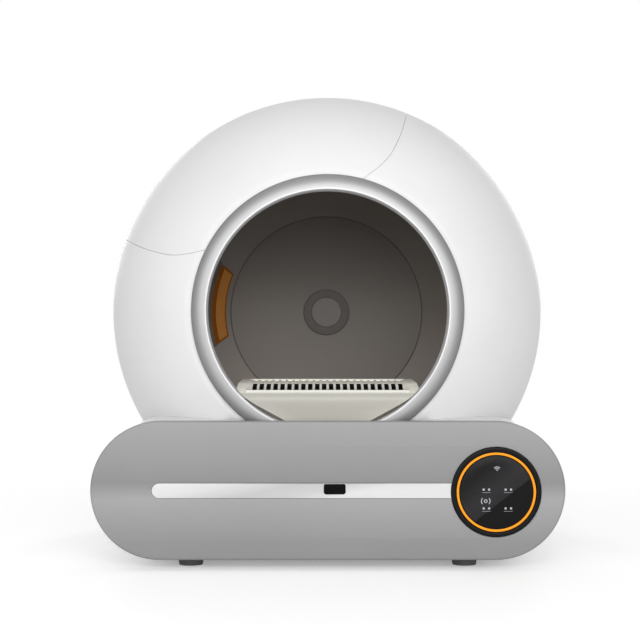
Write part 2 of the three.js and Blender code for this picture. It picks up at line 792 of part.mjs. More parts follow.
const boardThickness = 1.6;
const sensorBoardWidth = 42;
const sensorBoardHeight = 24;
const sensorChipWidth = 14;
const sensorChipDepth = 2.2;

/** The sensor's board behind the fascia. */
function sensorBoard() {
  const front = fasciaFrontY + fasciaFace + seatGap;
  const [halfX, halfZ] = [sensorBoardWidth / 2, sensorBoardHeight / 2];
  const chip = sensorChipWidth / 2;
  const board = block(
    [sensorCentreX - halfX, front, baseCentreZ - halfZ],
    [sensorCentreX + halfX, front + boardThickness, baseCentreZ + halfZ],
  );
  return board.add(block(
    [sensorCentreX - chip, front, baseCentreZ - chip / 2],
    [sensorCentreX + chip, front + boardThickness + sensorChipDepth, baseCentreZ + chip / 2],
  ));
}

const bezelRim = 5.2;
const bezelDepth = 13.4;
const bezelFloor = 2;
const bezelEdge = 1.2;
const lightRingWidth = 4.3;
const lightRingDepth = 3;
const lightRingSetback = 0.3;
const glassThickness = 2;

/** The black cup that holds the display. */
function displayBezel() {
  const rear = frontY + bezelDepth;
  const inner = displayRadius - bezelRim;
  return moved(turned([
    [0, rear - bezelFloor], [inner, rear - bezelFloor], [inner, frontY], [displayRadius - bezelEdge, frontY],
    [displayRadius, frontY + bezelEdge], [displayRadius, rear], [0, rear],
  ], displaySteps), displayX, 0, displayZ);
}

/** The amber ring of light around the glass. */
function displayLightRing() {
  const outer = displayRadius - bezelRim - seatGap;
  const front = frontY + lightRingSetback;
  const ring = round(outer, outer - lightRingWidth, front, front + lightRingDepth, displaySteps);
  return moved(ring, displayX, 0, displayZ);
}

/** The round glass of the touch display. */
function displayGlass() {
  const radius = displayRadius - bezelRim - lightRingWidth - 2 * seatGap;
  return displayRound(radius, frontY + lightRingSetback, frontY + lightRingSetback + glassThickness);
}

/** The display's board at the bottom of its cup. */
function displayBoard() {
  const rear = frontY + bezelDepth - bezelFloor - seatGap;
  return displayRound(displayRadius - bezelRim - seatGap, rear - boardThickness, rear);
}

// Works of the base: motor, bearing, rollers and boards

const pinionX = pinionDistance * Math.cos(pinionAngle);
const pinionZ = globeCentreZ - pinionDrop;
const pinionOverhang = 1;
const pinionFrontY = globeCentreY + gearReach - pinionOverhang;
const pinionRearY = pinionFrontY + gearWidth + 2 * pinionOverhang;
const motorShaftRadius = 4;
const motorShaftEnd = 1.5;
const motorShaftSink = 9;
const bracketRunGap = 1.3;
const bracketWall = 3;
const bracketReach = 30;
const bracketFoot = 26;
const gearboxRadius = 26;
const gearboxLength = 24;
const motorCanRadius = 18;
const motorCanLength = 40;

/** The bracket that carries the motor on the deck. */
function motorBracket() {
  const front = pinionRearY + bracketRunGap;
  const bottom = deckTopZ + seatGap;
  const [left, right] = [pinionX - bracketReach, pinionX + bracketReach];
  const plate = block([left, front, bottom], [right, front + bracketWall, pinionZ + bracketReach]);
  const foot = block([left, front, bottom], [right, front + bracketWall + bracketFoot, bottom + bracketWall]);
  const hole = round(motorShaftRadius + bracketRunGap, 0, pinionRearY, front + 2 * bracketWall, smallSteps);
  return plate.add(foot).subtract(moved(hole, pinionX, 0, pinionZ));
}

/** The gear motor, with the bore that its shaft turns in. */
function motor() {
  const front = pinionRearY + bracketRunGap + bracketWall + seatGap;
  const shoulder = front + gearboxLength;
  const rear = shoulder + motorCanLength;
  const bore = runningBore(motorShaftRadius, runningGap, roundSteps);
  const floor = front + motorShaftSink + runningGap;
  return moved(turned([
    [0, floor], [bore, floor], [bore, front], [gearboxRadius, front], [gearboxRadius, shoulder],
    [motorCanRadius, shoulder], [motorCanRadius, rear], [0, rear],
  ], roundSteps), pinionX, 0, pinionZ);
}

/** The motor's output shaft, about its own axis. */
function motorShaft() {
  const front = pinionFrontY - motorShaftEnd;
  const rear = pinionRearY + bracketRunGap + bracketWall + seatGap + motorShaftSink;
  return round(motorShaftRadius, 0, front, rear, smallSteps);
}

/** The pinion that drives the ring gear, about its own axis, a gap towards the gear. */
function drivePinion() {
  const facing = pinionAngle + Math.PI + Math.PI / pinionTeeth;
  const wheel = prismY(toothedOutline(pinionTeeth, facing), pinionFrontY, pinionRearY);
  const [front, rear] = [pinionFrontY - cutOverrun, pinionRearY + cutOverrun];
  return wheel.subtract(round(motorShaftRadius + seatGap, 0, front, rear, smallSteps));
}

const bearingFootHalf = 95;
const bearingFootHeight = 20;
const bearingFootDepth = 22;
const bearingHeadRadius = 32;
const bearingWindowHalf = 34;
const bearingWindowDrop = 100;
const bearingWindowRise = 34;
const bushWall = 3.6;
const bushFlange = 4;
const bushFlangeThickness = 2;
const bushProud = 1;

/** The upright at the back that carries the drum's shaft. */
function bearingFrame() {
  const front = globeCentreY + bearingReach;
  const rear = front + bearingThickness;
  const bottom = deckTopZ + seatGap;
  const shoulder = bottom + bearingFootHeight;
  const shape = new THREE.Shape();
  shape.moveTo(-bearingFootHalf, bottom);
  shape.lineTo(bearingFootHalf, bottom);
  shape.lineTo(bearingFootHalf, shoulder);
  shape.absarc(0, globeCentreZ, bearingHeadRadius, 0, Math.PI, false);
  shape.lineTo(-bearingFootHalf, shoulder);
  const windowTop = globeCentreZ - bearingWindowDrop;
  const window = outline([
    [-bearingWindowHalf, bottom + bearingWindowRise], [bearingWindowHalf, bottom + bearingWindowRise],
    [bearingWindowHalf, windowTop], [-bearingWindowHalf, windowTop],
  ]);
  const bore = runningBore(hubShaftRadius, runningGap, roundSteps) + bushWall + seatGap;
  const foot = block(
    [-bearingFootHalf, front, bottom], [bearingFootHalf, front + bearingFootDepth, bottom + bearingThickness],
  );
  return prismY(shape, front, rear, 6).add(foot)
    .subtract(prismY(window, front - cutOverrun, rear + cutOverrun))
    .subtract(moved(round(bore, 0, front - cutOverrun, rear + cutOverrun), 0, 0, globeCentreZ));
}

/** The plain bearing of the drum's shaft. */
function hubBush() {
  const inner = runningBore(hubShaftRadius, runningGap, roundSteps);
  const outer = inner + bushWall;
  const seat = globeCentreY + bearingReach - seatGap;
  const end = globeCentreY + bearingReach + bearingThickness + bushProud;
  return moved(turned([
    [inner, seat - bushFlangeThickness], [outer + bushFlange, seat - bushFlangeThickness],
    [outer + bushFlange, seat], [outer, seat], [outer, end], [inner, end],
  ], roundSteps), 0, 0, globeCentreZ);
}

const hallWidth = 10;
const hallDepth = 6;
const hallHeight = 8;

/** The sensor that finds the drum's home position. */
function hallSensor() {
  const rear = globeCentreY + bearingReach - seatGap;
  const middle = globeCentreZ - magnetDrop;
  return block(
    [-hallWidth / 2, rear - hallDepth, middle - hallHeight / 2],
    [hallWidth / 2, rear, middle + hallHeight / 2],
  );
}

// Support rollers under the neck, on uprights that stand on the deck
const rollerDistance = neckOuterRadius + rollerRadius + seatGap;
const rollerX = rollerDistance * Math.sin(rollerAngle);
const rollerZ = globeCentreZ - rollerDistance * Math.cos(rollerAngle);
const rollerFrontY = globeCentreY - rollerReach;
const rollerRearY = rollerFrontY + rollerWidth;
const cradleSideGap = 0.8;
const cradleWall = 2.4;
const cradleFootHalf = 14;
const cradleHeadHalf = 6.5;
const cradleHeadRise = 6.5;
const axleEndPlay = 0.8;

/** One upright pair on the deck that holds a roller's axle, about the roller's x. */
function rollerBracket() {
  const bottom = deckTopZ + seatGap;
  const shape = outline([
    [-cradleFootHalf, bottom], [cradleFootHalf, bottom],
    [cradleHeadHalf, rollerZ + cradleHeadRise], [-cradleHeadHalf, rollerZ + cradleHeadRise],
  ]);
  const [front, rear] = [rollerFrontY - cradleSideGap, rollerRearY + cradleSideGap];
  const [holeFront, holeRear] = [front - 2 * cradleWall, rear + 2 * cradleWall];
  const hole = round(rollerAxleRadius + seatGap, 0, holeFront, holeRear, smallSteps);
  return prismY(shape, front - cradleWall, front)
    .add(prismY(shape, rear, rear + cradleWall))
    .add(block(
      [-cradleFootHalf, front - cradleWall, bottom], [cradleFootHalf, rear + cradleWall, bottom + cradleWall],
    ))
    .subtract(moved(hole, 0, 0, rollerZ));
}

/** The space of the rollers' uprights with a gap around it, about the centre of the globe. */
function rollerBays() {
  const half = cradleFootHalf + seatGap;
  const reach = cradleSideGap + cradleWall + seatGap;
  const [front, rear] = [rollerFrontY - reach - globeCentreY, rollerRearY + reach - globeCentreY];
  const top = rollerZ + cradleHeadRise + seatGap - globeCentreZ;
  const bay = block([rollerX - half, front, -globeCentreZ], [rollerX + half, rear, top]);
  return bay.add(bay.mirror([1, 0, 0]));
}

/** A roller's fixed axle, about its own axis. */
function rollerAxle() {
  const reach = cradleSideGap + cradleWall + axleEndPlay;
  return round(rollerAxleRadius, 0, rollerFrontY - reach, rollerRearY + reach, smallSteps);
}

/** A rubber roller, about its own axis. */
function roller() {
  const bore = runningBore(rollerAxleRadius, seatGap, roundSteps);
  return round(rollerRadius, bore, rollerFrontY, rollerRearY, roundSteps);
}

const mainBoardLength = 120;
const mainBoardHeight = 40;
const mainBoardRise = 12.8;
const mainBoardBottomZ = casingFloorZ + mainBoardRise;
// Parts on the main board: place, length, height and rise as shares of the board's length and height
const mainBoardPartShares = [
  [0.12, 0.3, 0.25, 0.5, 0.3], [0.42, 0.25, 0.2, 0.35, 0.15], [0.72, 0.4, 0.2, 0.45, 0.4],
];

/** The control board on the outside of the deck's right leg. */
function mainBoard() {
  const left = deckWidth / 2 + seatGap;
  const right = left + boardThickness;
  const front = globeCentreY - mainBoardLength / 2;
  let board = block([left, front, mainBoardBottomZ],
    [right, front + mainBoardLength, mainBoardBottomZ + mainBoardHeight]);
  for (const [y, z, length, height, rise] of mainBoardPartShares) {
    const y0 = front + y * mainBoardLength;
    const z0 = mainBoardBottomZ + z * mainBoardHeight;
    board = board.add(block([left, y0, z0],
      [right + rise * mainBoardHeight, y0 + length * mainBoardLength, z0 + height * mainBoardHeight]));
  }
  return board;
}

// Feet and load cells, about each foot's own axis

const footSideInset = 115;
const footEndInset = 56;
const footX = baseWidth / 2 - footSideInset;
const footY = overallDepth / 2 - footEndInset;
const footTopRadius = 16;
const footBottomRadius = 14;
const footFloor = 5;
const footCupRadius = 12.6;
const cellEdge = 2;

/** A body turned about the Z axis from a profile of [radius, z] points. */
function turnedUp(profile, steps) {
  return turned(profile, steps).rotate([90, 0, 0]);
}

/** A tapered rubber foot, hollow for its load cell. */
function foot() {
  const top = footHeight - seatGap;
  return turnedUp([
    [0, 0], [footBottomRadius, 0], [footTopRadius, top], [footCupRadius, top],
    [footCupRadius, footFloor], [0, footFloor],
  ], roundSteps);
}

/** The load cell inside a foot. */
function loadCell() {
  const radius = footCupRadius - seatGap;
  const bottom = footFloor + seatGap;
  const top = footHeight - seatGap;
  return turnedUp([
    [0, bottom], [radius, bottom], [radius, top - cellEdge], [radius - cellEdge, top], [0, top],
  ], roundSteps);
}

// Waste drawer

const drawerFrontClearance = 17;
const drawerFloor = 2.5;
const drawerGripWidth = 110;
const drawerGripHeight = 24;
const drawerGripDepth = 5.5;
const drawerGripCorner = 10;
const bagFrameBar = 14;

/** The open bin of the drawer. */
function drawerBin() {
  const front = fasciaRearY + drawerFrontClearance;
  const rear = panelFrontY - seatGap;
  const inner = drawerHalfWidth - drawerWall;
  const box = block([-drawerHalfWidth, front, drawerBottomZ], [drawerHalfWidth, rear, drawerRimZ]);
  return box.subtract(block(
    [-inner, front + drawerWall, drawerBottomZ + drawerFloor],
    [inner, rear - drawerWall, drawerRimZ + cutOverrun],
  ));
}

/** The drawer's face in the rear panel, with its grip. */
function drawerFront() {
  const middleZ = (drawerBottomZ + drawerFrontTopZ) / 2;
  const grip = roundedRectangle(drawerGripWidth, drawerGripHeight, drawerGripCorner, 0, middleZ);
  return block([-drawerHalfWidth, panelFrontY, drawerBottomZ], [drawerHalfWidth, rearY, drawerFrontTopZ])
    .subtract(prismY(grip, rearY - drawerGripDepth, rearY + cutOverrun, 3));
}

/** The frame that holds the waste bag on the bin's rim. */
function bagFrame() {
  const front = fasciaRearY + drawerFrontClearance;
  const rear = panelFrontY - seatGap;
  const inner = drawerHalfWidth - bagFrameBar;
  const bottom = drawerRimZ + seatGap;
  const top = bottom + bagFrameThickness;
  return block([-drawerHalfWidth, front, bottom], [drawerHalfWidth, rear, top]).subtract(block(
    [-inner, front + bagFrameBar, bottom - cutOverrun], [inner, rear - bagFrameBar, top + cutOverrun],
  ));
}

// Step in the mouth: a tray with a slotted grid, in the frame of the whole object

const stepSetback = 4;
const stepDepth = 96;
const stepSink = 5.6;
const stepHeight = 54;
const stepFrontY = globeCentreY - ringReach + stepSetback;
const stepBottomZ = globeCentreZ - ringInnerRadius + stepSink;
const stepTopZ = stepBottomZ + stepHeight;
const stepFaceInset = 3;
const stepSideWall = 8;
const stepRibDepth = 7;
const stepRibSetback = 12;
const gridSideInset = 18.1;
const gridThickness = 3;
const gridLedge = 6;
const gridFront = 5;
const gridRear = 86;
const gridBorder = 4;
const gridSlotWidth = 5.4;
const gridSlotPitch = 8.35;
const stepTopHalf = Math.sqrt((ringInnerRadius - seatGap) ** 2 - (globeCentreZ - stepTopZ) ** 2);
const gridHalfWidth = stepTopHalf - gridSideInset;
const gridSlots = Math.floor(2 * (gridHalfWidth - gridBorder) / gridSlotPitch);
// Side views of the tray and of its hollow, as shares of the step's depth and height
const stepSectionShares = [
  [1, 1], [0.375, 0.944], [0.115, 0.833], [0.021, 0.685], [0, 0.593],
  [0.115, 0.037], [0.208, 0], [0.271, 0.519], [1, 0.778],
];
const stepHollowShares = [
  [0.104, 1.1], [0.86, 1.1], [0.86, 0.806], [0.3125, 0.611],
  [0.229, 0.537], [0.193, 0.222], [0.125, 0.222],
];
const stepFaceShare = 0.593;

/** A prism across the step from a side view in shares. */
function stepPrism(shares, width) {
  const points = shares.map(([y, z]) => [stepFrontY + y * stepDepth, stepBottomZ + z * stepHeight]);
  return prismX(outline(points), width);
}

/** A cylinder about the globe's axis over the whole depth of the step. */
function mouthRound(radius) {
  const [front, rear] = [stepFrontY - cutOverrun, stepFrontY + stepDepth + cutOverrun];
  return moved(round(radius, 0, front, rear, globeSteps), 0, 0, globeCentreZ);
}

/** The step's place for the grid grown by a gap, as all that lies above a depth under the step's top. */
function gridPlace(depth, gap) {
  const place = block(
    [-gridHalfWidth - gap, stepFrontY + gridFront - gap, stepBottomZ],
    [gridHalfWidth + gap, stepFrontY + gridRear + gap, globeCentreZ],
  );
  return place.subtract(moved(stepPrism(stepSectionShares, 2 * ringInnerRadius), 0, 0, -depth));
}

/** The tray of the step, resting in the entry ring. */
function stepTray() {
  const body = stepPrism(stepSectionShares, 2 * ringInnerRadius);
  const wide = body.intersect(mouthRound(ringInnerRadius - seatGap));
  const faceTop = stepBottomZ + stepFaceShare * stepHeight;
  const far = globeRadius;
  const top = wide.intersect(block([-far, -far, faceTop], [far, far, globeCentreZ]));
  const ribFront = stepFrontY + stepRibSetback;
  const rib = wide.intersect(block([-far, ribFront, 0], [far, ribFront + stepRibDepth, globeCentreZ]));
  const face = body.intersect(mouthRound(ringInnerRadius - stepFaceInset));
  const hollow = stepPrism(stepHollowShares, 2 * (gridHalfWidth - gridLedge))
    .intersect(mouthRound(ringInnerRadius - stepFaceInset - stepSideWall));
  return top.add(rib).add(face).subtract(hollow).subtract(gridPlace(gridThickness + seatGap, seatGap));
}

/** The slotted grid that lies in the tray. */
function stepGrid() {
  let grid = stepPrism(stepSectionShares, 2 * ringInnerRadius).intersect(gridPlace(gridThickness, 0));
  const front = stepFrontY + gridFront + gridBorder;
  const rear = stepFrontY + gridRear - gridBorder;
  for (let slot = 0; slot < gridSlots; slot += 1) {
    const x = (slot - (gridSlots - 1) / 2) * gridSlotPitch;
    grid = grid.subtract(block(
      [x - gridSlotWidth / 2, front, stepBottomZ], [x + gridSlotWidth / 2, rear, globeCentreZ],
    ));
  }
  return grid;
}

// The whole object

/** A group of pieces at a place. */
function groupAt([x, y, z], ...pieces) {
  const group = new THREE.Group();
  group.position.set(x, y, z);
  group.add(...pieces);
  return group;
}

const globeCentre = [0, globeCentreY, globeCentreZ];

const globe = groupAt(
  globeCentre,
  piece('shell_front', shellFront(), finishes.shellWhite),
  piece('shell_rear', shellRear(), finishes.shellWhite),
  piece('rear_cap', rearCap(), finishes.shellWhite),
  piece('entry_ring', entryRing(), finishes.ringSilver),
  piece('mouth_seal', mouthSeal(), finishes.felt),
);

const liftOffHatch = groupAt(globeCentre, piece('hatch', hatch(), finishes.shellWhite));

const drum = groupAt(
  globeCentre,
  piece('drum_front', drumFront(), finishes.drumGrey),
  piece('drum_rear', drumRear(), finishes.drumGrey),
  piece('hub_cap', hubCap(), finishes.drumGrey),
  piece('hub_shaft', hubShaft(), finishes.steel),
  piece('ring_gear', ringGear(), finishes.nylon),
  piece('sieve_frame', sieveFrame(), finishes.sieveAmber),
  piece('sieve_screen', sieveScreen(), finishes.sieveAmber),
  piece('home_magnet', homeMagnet(), finishes.steel),
);

const drive = groupAt(
  [pinionX, 0, pinionZ],
  piece('drive_pinion', drivePinion(), finishes.nylon),
  piece('motor_shaft', motorShaft(), finishes.steel),
);

const base = groupAt(
  [0, 0, 0],
  piece('fascia', fascia(), finishes.fasciaGrey),
  piece('base_casing', baseCasing(), finishes.shellWhite),
  piece('rear_panel', rearPanel(), finishes.fasciaGrey),
  piece('chassis_deck', chassisDeck(), finishes.plasticDark),
  piece('light_strip', lightStrip(), finishes.stripWhite),
  piece('sensor_window', sensorWindow(), finishes.displayBlack),
  piece('sensor_board', sensorBoard(), finishes.boardGreen),
  piece('display_bezel', displayBezel(), finishes.displayBlack),
  piece('display_light_ring', displayLightRing(), finishes.lightAmber),
  piece('display_glass', displayGlass(), finishes.displayBlack),
  piece('display_board', displayBoard(), finishes.boardGreen),
  piece('main_board', mainBoard(), finishes.boardGreen),
  piece('dc_inlet', dcInlet(), finishes.plasticDark),
  piece('motor', motor(), finishes.steel),
  piece('motor_bracket', motorBracket(), finishes.steel),
  piece('bearing_frame', bearingFrame(), finishes.plasticDark),
  piece('hub_bush', hubBush(), finishes.nylon),
  piece('hall_sensor', hallSensor(), finishes.plasticDark),
);

screwPlaces().forEach(([x, z], i) => {
  base.add(groupAt([x, 0, z], piece(`rear_screw_${i + 1}`, panelScrew(), finishes.steel)));
});

const rollers = [['left', -1], ['right', 1]].map(([side, sign]) => {
  base.add(groupAt([sign * rollerX, 0, 0], piece(`roller_bracket_${side}`, rollerBracket(), finishes.steel)));
  return groupAt(
    [sign * rollerX, 0, rollerZ],
    piece(`roller_axle_${side}`, rollerAxle(), finishes.steel),
    piece(`roller_${side}`, roller(), finishes.footDark),
  );
});

for (const [end, y] of [['front', -footY], ['rear', footY]]) {
  for (const [side, x] of [['left', -footX], ['right', footX]]) {
    base.add(groupAt(
      [x, y, 0],
      piece(`foot_${end}_${side}`, foot(), finishes.footDark),
      piece(`load_cell_${end}_${side}`, loadCell(), finishes.steel),
    ));
  }
}

const drawer = groupAt(
  [0, 0, 0],
  piece('drawer_bin', drawerBin(), finishes.plasticDark),
  piece('drawer_front', drawerFront(), finishes.fasciaGrey),
  piece('bag_frame', bagFrame(), finishes.plasticDark),
);

const step = groupAt(
  [0, 0, 0],
  piece('step_tray', stepTray(), finishes.stepWhite),
  piece('step_grid', stepGrid(), finishes.stepWhite),
);

const litterBox = groupAt([0, 0, 0], base, globe, liftOffHatch, drum, drive, ...rollers, drawer, step);

export default litterBox;
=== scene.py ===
"""Looks of a self cleaning litter box: a white globe on a low base, with a dark drum inside.

All lengths are metres in the part's own frame: X right seen from the front, the front towards -Y,
Z up and the floor at Z 0. The globe, the entry ring and the drum share one axis along Y.
"""

import logging
import math
from collections.abc import Callable, Sequence
from dataclasses import dataclass, replace
from enum import Enum

import bmesh
import bpy
import numpy as np
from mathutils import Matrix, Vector
from mathutils.geometry import tessellate_polygon


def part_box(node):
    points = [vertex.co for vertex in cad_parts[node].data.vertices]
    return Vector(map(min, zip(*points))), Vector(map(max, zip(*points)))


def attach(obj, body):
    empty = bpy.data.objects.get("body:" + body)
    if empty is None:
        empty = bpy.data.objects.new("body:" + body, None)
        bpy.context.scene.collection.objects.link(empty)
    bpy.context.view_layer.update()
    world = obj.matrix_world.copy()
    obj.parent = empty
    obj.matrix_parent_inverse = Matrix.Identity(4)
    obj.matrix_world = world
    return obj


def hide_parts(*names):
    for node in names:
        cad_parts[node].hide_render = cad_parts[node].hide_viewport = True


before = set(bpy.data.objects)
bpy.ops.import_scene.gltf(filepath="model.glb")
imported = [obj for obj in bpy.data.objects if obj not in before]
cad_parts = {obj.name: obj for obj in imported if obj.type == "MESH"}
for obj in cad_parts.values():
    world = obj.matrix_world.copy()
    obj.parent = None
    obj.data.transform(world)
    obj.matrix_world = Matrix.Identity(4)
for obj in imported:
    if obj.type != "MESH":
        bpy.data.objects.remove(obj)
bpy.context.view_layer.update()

LOG = logging.getLogger("litter_box")

Array = np.ndarray
Colour = tuple[float, float, float]
Triple = tuple[float, float, float]
Pair = tuple[float, float]
Place = Callable[[Array, Array, Array], Array]

# The globe's axis and centre, and the outlines that several pieces share
AXIS_Y = 0.013
AXIS_Z = 0.306
MOUTH_DEPTH = -0.228
SEAT_GAP = 0.0003
BASE_RADIUS = 0.08175
BASE_END_X = 0.19825
BASE_Z = 0.09395
FASCIA_FACE_Y = -0.248
FASCIA_REAR_Y = -0.232
PANEL_FRONT_Y = 0.242
PANEL_REAR_Y = 0.25
DISPLAY_Z = 0.09245
DISPLAY_RADIUS = 0.0528
STRIP_HALF_HEIGHT = 0.0088
STRIP_LEFT_X = -0.2074
SENSOR_X = 0.0081
SENSOR_Z = 0.09605

# Steps of a full turn, from the widest pieces down to the pins
TURN_RING = 256
TURN_WIDE = 160
TURN_CAP = 128
TURN_HUB = 96
TURN_FOOT = 64
TURN_BORE = 48
TURN_HEAD = 40
TURN_FLOOR = 32
TURN_PIN = 24
TURN_BEAD = 8

# Steps of the arcs of outlines
ARC_RECESS = 96
ARC_PLATE = 56
ARC_STRIP = 24
ARC_MEETING = 16
ARC_MARK = 12

# Steps of one rounding: of lines and plates that show large, and of small rims
FINE_ROUNDING = 8
MIDDLE_ROUNDING = 6
RIM_ROUNDING = 5
SMALL_ROUNDING = 3

# Angles in degrees past which an edge shows as sharp
CRISP = 30.0
SOFT = 35.0
ROUND = 38.0
BEVEL_ANGLE = 40.0
BEVEL_SEGMENTS = 3

# Two points this near are one, and no length is divided by less than the smallest
SAME_POINT = 0.000001
SMALLEST = 1e-12

# The largest share of a line's side that one rounding takes
LONGEST_ROUNDING = 0.45


def srgb(red: int, green: int, blue: int) -> Colour:
    """Turns a display colour into linear light.

    Args:
        red: red, 0 to 255.
        green: green, 0 to 255.
        blue: blue, 0 to 255.

    Returns:
        The linear colour.
    """
    def lift(value: int) -> float:
        """Returns one channel in linear light."""
        share = value / 255
        return share / 12.92 if share <= 0.04045 else ((share + 0.055) / 1.055) ** 2.4

    return lift(red), lift(green), lift(blue)


# The slow drift of colour and roughness over a piece, and the fine grain
DRIFT_CELLS = 7.0
DRIFT_DETAIL = 3.0
DRIFT_ENDS = (0.3, 0.7)
ROUGHNESS_DRIFT = 0.05
ROUGHNESS_LEAST = 0.02
GRAIN_DETAIL = 2.0
FELT_DETAIL = 8.0
BRUSH_STRETCH = (1.0, 0.03, 1.0)


class Grain(Enum):
    """The kinds of fine surface that a moulded, woven or turned piece shows."""

    SMOOTH = "smooth"
    MOULDED = "moulded"
    SPARK = "spark"
    BRUSHED = "brushed"
    FELT = "felt"


@dataclass(frozen=True)
class Finish:
    """One surface finish, built as a node material.

    Attributes:
        name: name of the material.
        colour: linear base colour.
        roughness: middle roughness.
        metallic: 0 for plastic, 1 for metal.
        grain: kind of fine surface.
        grain_size: size of the grain in metres.
        bump: height of the grain in metres.
        variation: share by which the colour drifts over the piece.
        glow: strength of the light that the surface gives.
        specular: level of the mirror-like share.
        along: direction along which the painted light and shade change, or None for the distance from the
            globe's axis.
        painted_shading: (place in metres, gain of the colour) along that direction, which paint light and
            shade into the colour.
    """

    name: str
    colour: Colour
    roughness: float = 0.45
    metallic: float = 0.0
    grain: Grain = Grain.MOULDED
    grain_size: float = 0.0009
    bump: float = 0.00002
    variation: float = 0.02
    glow: float = 0.0
    specular: float = 0.5
    along: Triple | None = (0.0, 0.0, 1.0)
    painted_shading: tuple[Pair, ...] = ()

    def material(self) -> bpy.types.Material:
        """Returns the material of this finish, which is made once."""
        return bpy.data.materials.get(f"{self.name}_finish") or self._build()

    def _build(self) -> bpy.types.Material:
        """Builds the nodes: slow drift of colour and roughness, painted light and shade, grain as bump, and
        the shader.

        Returns:
            The new material.
        """
        material = bpy.data.materials.new(f"{self.name}_finish")
        material.use_nodes = True
        tree = material.node_tree
        shader = tree.nodes["Principled BSDF"]
        shader.inputs["Metallic"].default_value = self.metallic
        shader.inputs["Specular IOR Level"].default_value = self.specular
        place = tree.nodes.new("ShaderNodeTexCoord").outputs["Object"]
        drift = self._noise(tree, place, DRIFT_CELLS, DRIFT_DETAIL)
        tree.links.new(self._add_painted_shading(tree, place, self._colour(tree, drift)), shader.inputs["Base Color"])
        gloss = tree.nodes.new("ShaderNodeMapRange")
        gloss.inputs["To Min"].default_value = max(self.roughness - ROUGHNESS_DRIFT, ROUGHNESS_LEAST)
        gloss.inputs["To Max"].default_value = self.roughness + ROUGHNESS_DRIFT
        tree.links.new(drift, gloss.inputs["Value"])
        tree.links.new(gloss.outputs["Result"], shader.inputs["Roughness"])
        if self.grain is not Grain.SMOOTH:
            bump = tree.nodes.new("ShaderNodeBump")
            bump.inputs["Distance"].default_value = self.bump
            tree.links.new(self._grain(tree, place), bump.inputs["Height"])
            tree.links.new(bump.outputs["Normal"], shader.inputs["Normal"])
        if self.glow:
            shader.inputs["Emission Color"].default_value = (*self.colour, 1)
            shader.inputs["Emission Strength"].default_value = self.glow
        return material

    @staticmethod
    def _noise(
        tree: bpy.types.NodeTree, place: bpy.types.NodeSocket, scale: float, detail: float
    ) -> bpy.types.NodeSocket:
        """Adds a noise.

        Args:
            tree: the material's node tree.
            place: socket with the coordinates.
            scale: noise cells in a metre.
            detail: octaves of finer noise.

        Returns:
            The noise's value socket.
        """
        noise = tree.nodes.new("ShaderNodeTexNoise")
        noise.inputs["Scale"].default_value = scale
        noise.inputs["Detail"].default_value = detail
        tree.links.new(place, noise.inputs["Vector"])
        return noise.outputs["Fac"]

    def _colour(self, tree: bpy.types.NodeTree, drift: bpy.types.NodeSocket) -> bpy.types.NodeSocket:
        """Adds a ramp around the base colour, darker at one end of the drift and lighter at the other.

        Args:
            tree: the material's node tree.
            drift: socket with the slow noise.

        Returns:
            The colour socket.
        """
        ramp = tree.nodes.new("ShaderNodeValToRGB")
        gains = (1 - self.variation, 1 + self.variation)
        for element, position, gain in zip(ramp.color_ramp.elements, DRIFT_ENDS, gains):
            element.position = position
            element.color = (*(min(channel * gain, 1) for channel in self.colour), 1)
        tree.links.new(drift, ramp.inputs["Fac"])
        return ramp.outputs["Color"]

    def _add_painted_shading(
        self, tree: bpy.types.NodeTree, place: bpy.types.NodeSocket, colour: bpy.types.NodeSocket
    ) -> bpy.types.NodeSocket:
        """Multiplies the colour by its painted shading: gains that paint light and shade into it.

        The place along the direction is their dot product; the distance from the globe's axis is the
        length of the place without its Y, less the axis's height.

        Args:
            tree: the material's node tree.
            place: socket with the coordinates.
            colour: the colour socket.

        Returns:
            The shaded colour's socket.
        """
        if not self.painted_shading:
            return colour
        start, end = self.painted_shading[0][0], self.painted_shading[-1][0]
        top = max(gain for _, gain in self.painted_shading)
        reach = tree.nodes.new("ShaderNodeVectorMath")
        if self.along is None:
            flat = tree.nodes.new("ShaderNodeVectorMath")
            flat.operation = "MULTIPLY_ADD"
            flat.inputs[1].default_value = (1, 0, 1)
            flat.inputs[2].default_value = (0, 0, -AXIS_Z)
            tree.links.new(place, flat.inputs[0])
            place = flat.outputs[0]
            reach.operation = "LENGTH"
        else:
            reach.operation = "DOT_PRODUCT"
            reach.inputs[1].default_value = self.along
        tree.links.new(place, reach.inputs[0])
        along = tree.nodes.new("ShaderNodeMapRange")
        along.inputs["From Min"].default_value = start
        along.inputs["From Max"].default_value = end
        tree.links.new(reach.outputs["Value"], along.inputs["Value"])
        ramp = tree.nodes.new("ShaderNodeValToRGB")
        for _ in self.painted_shading[2:]:
            ramp.color_ramp.elements.new(1.0)
        for element, (at, gain) in zip(ramp.color_ramp.elements, self.painted_shading):
            element.position = (at - start) / (end - start)
            element.color = (gain / top, gain / top, gain / top, 1)
        tree.links.new(along.outputs["Result"], ramp.inputs["Fac"])
        lift = tree.nodes.new("ShaderNodeVectorMath")
        lift.operation = "SCALE"
        lift.inputs["Scale"].default_value = top
        tree.links.new(colour, lift.inputs[0])
        product = tree.nodes.new("ShaderNodeVectorMath")
        product.operation = "MULTIPLY"
        tree.links.new(lift.outputs[0], product.inputs[0])
        tree.links.new(ramp.outputs["Color"], product.inputs[1])
        return product.outputs[0]

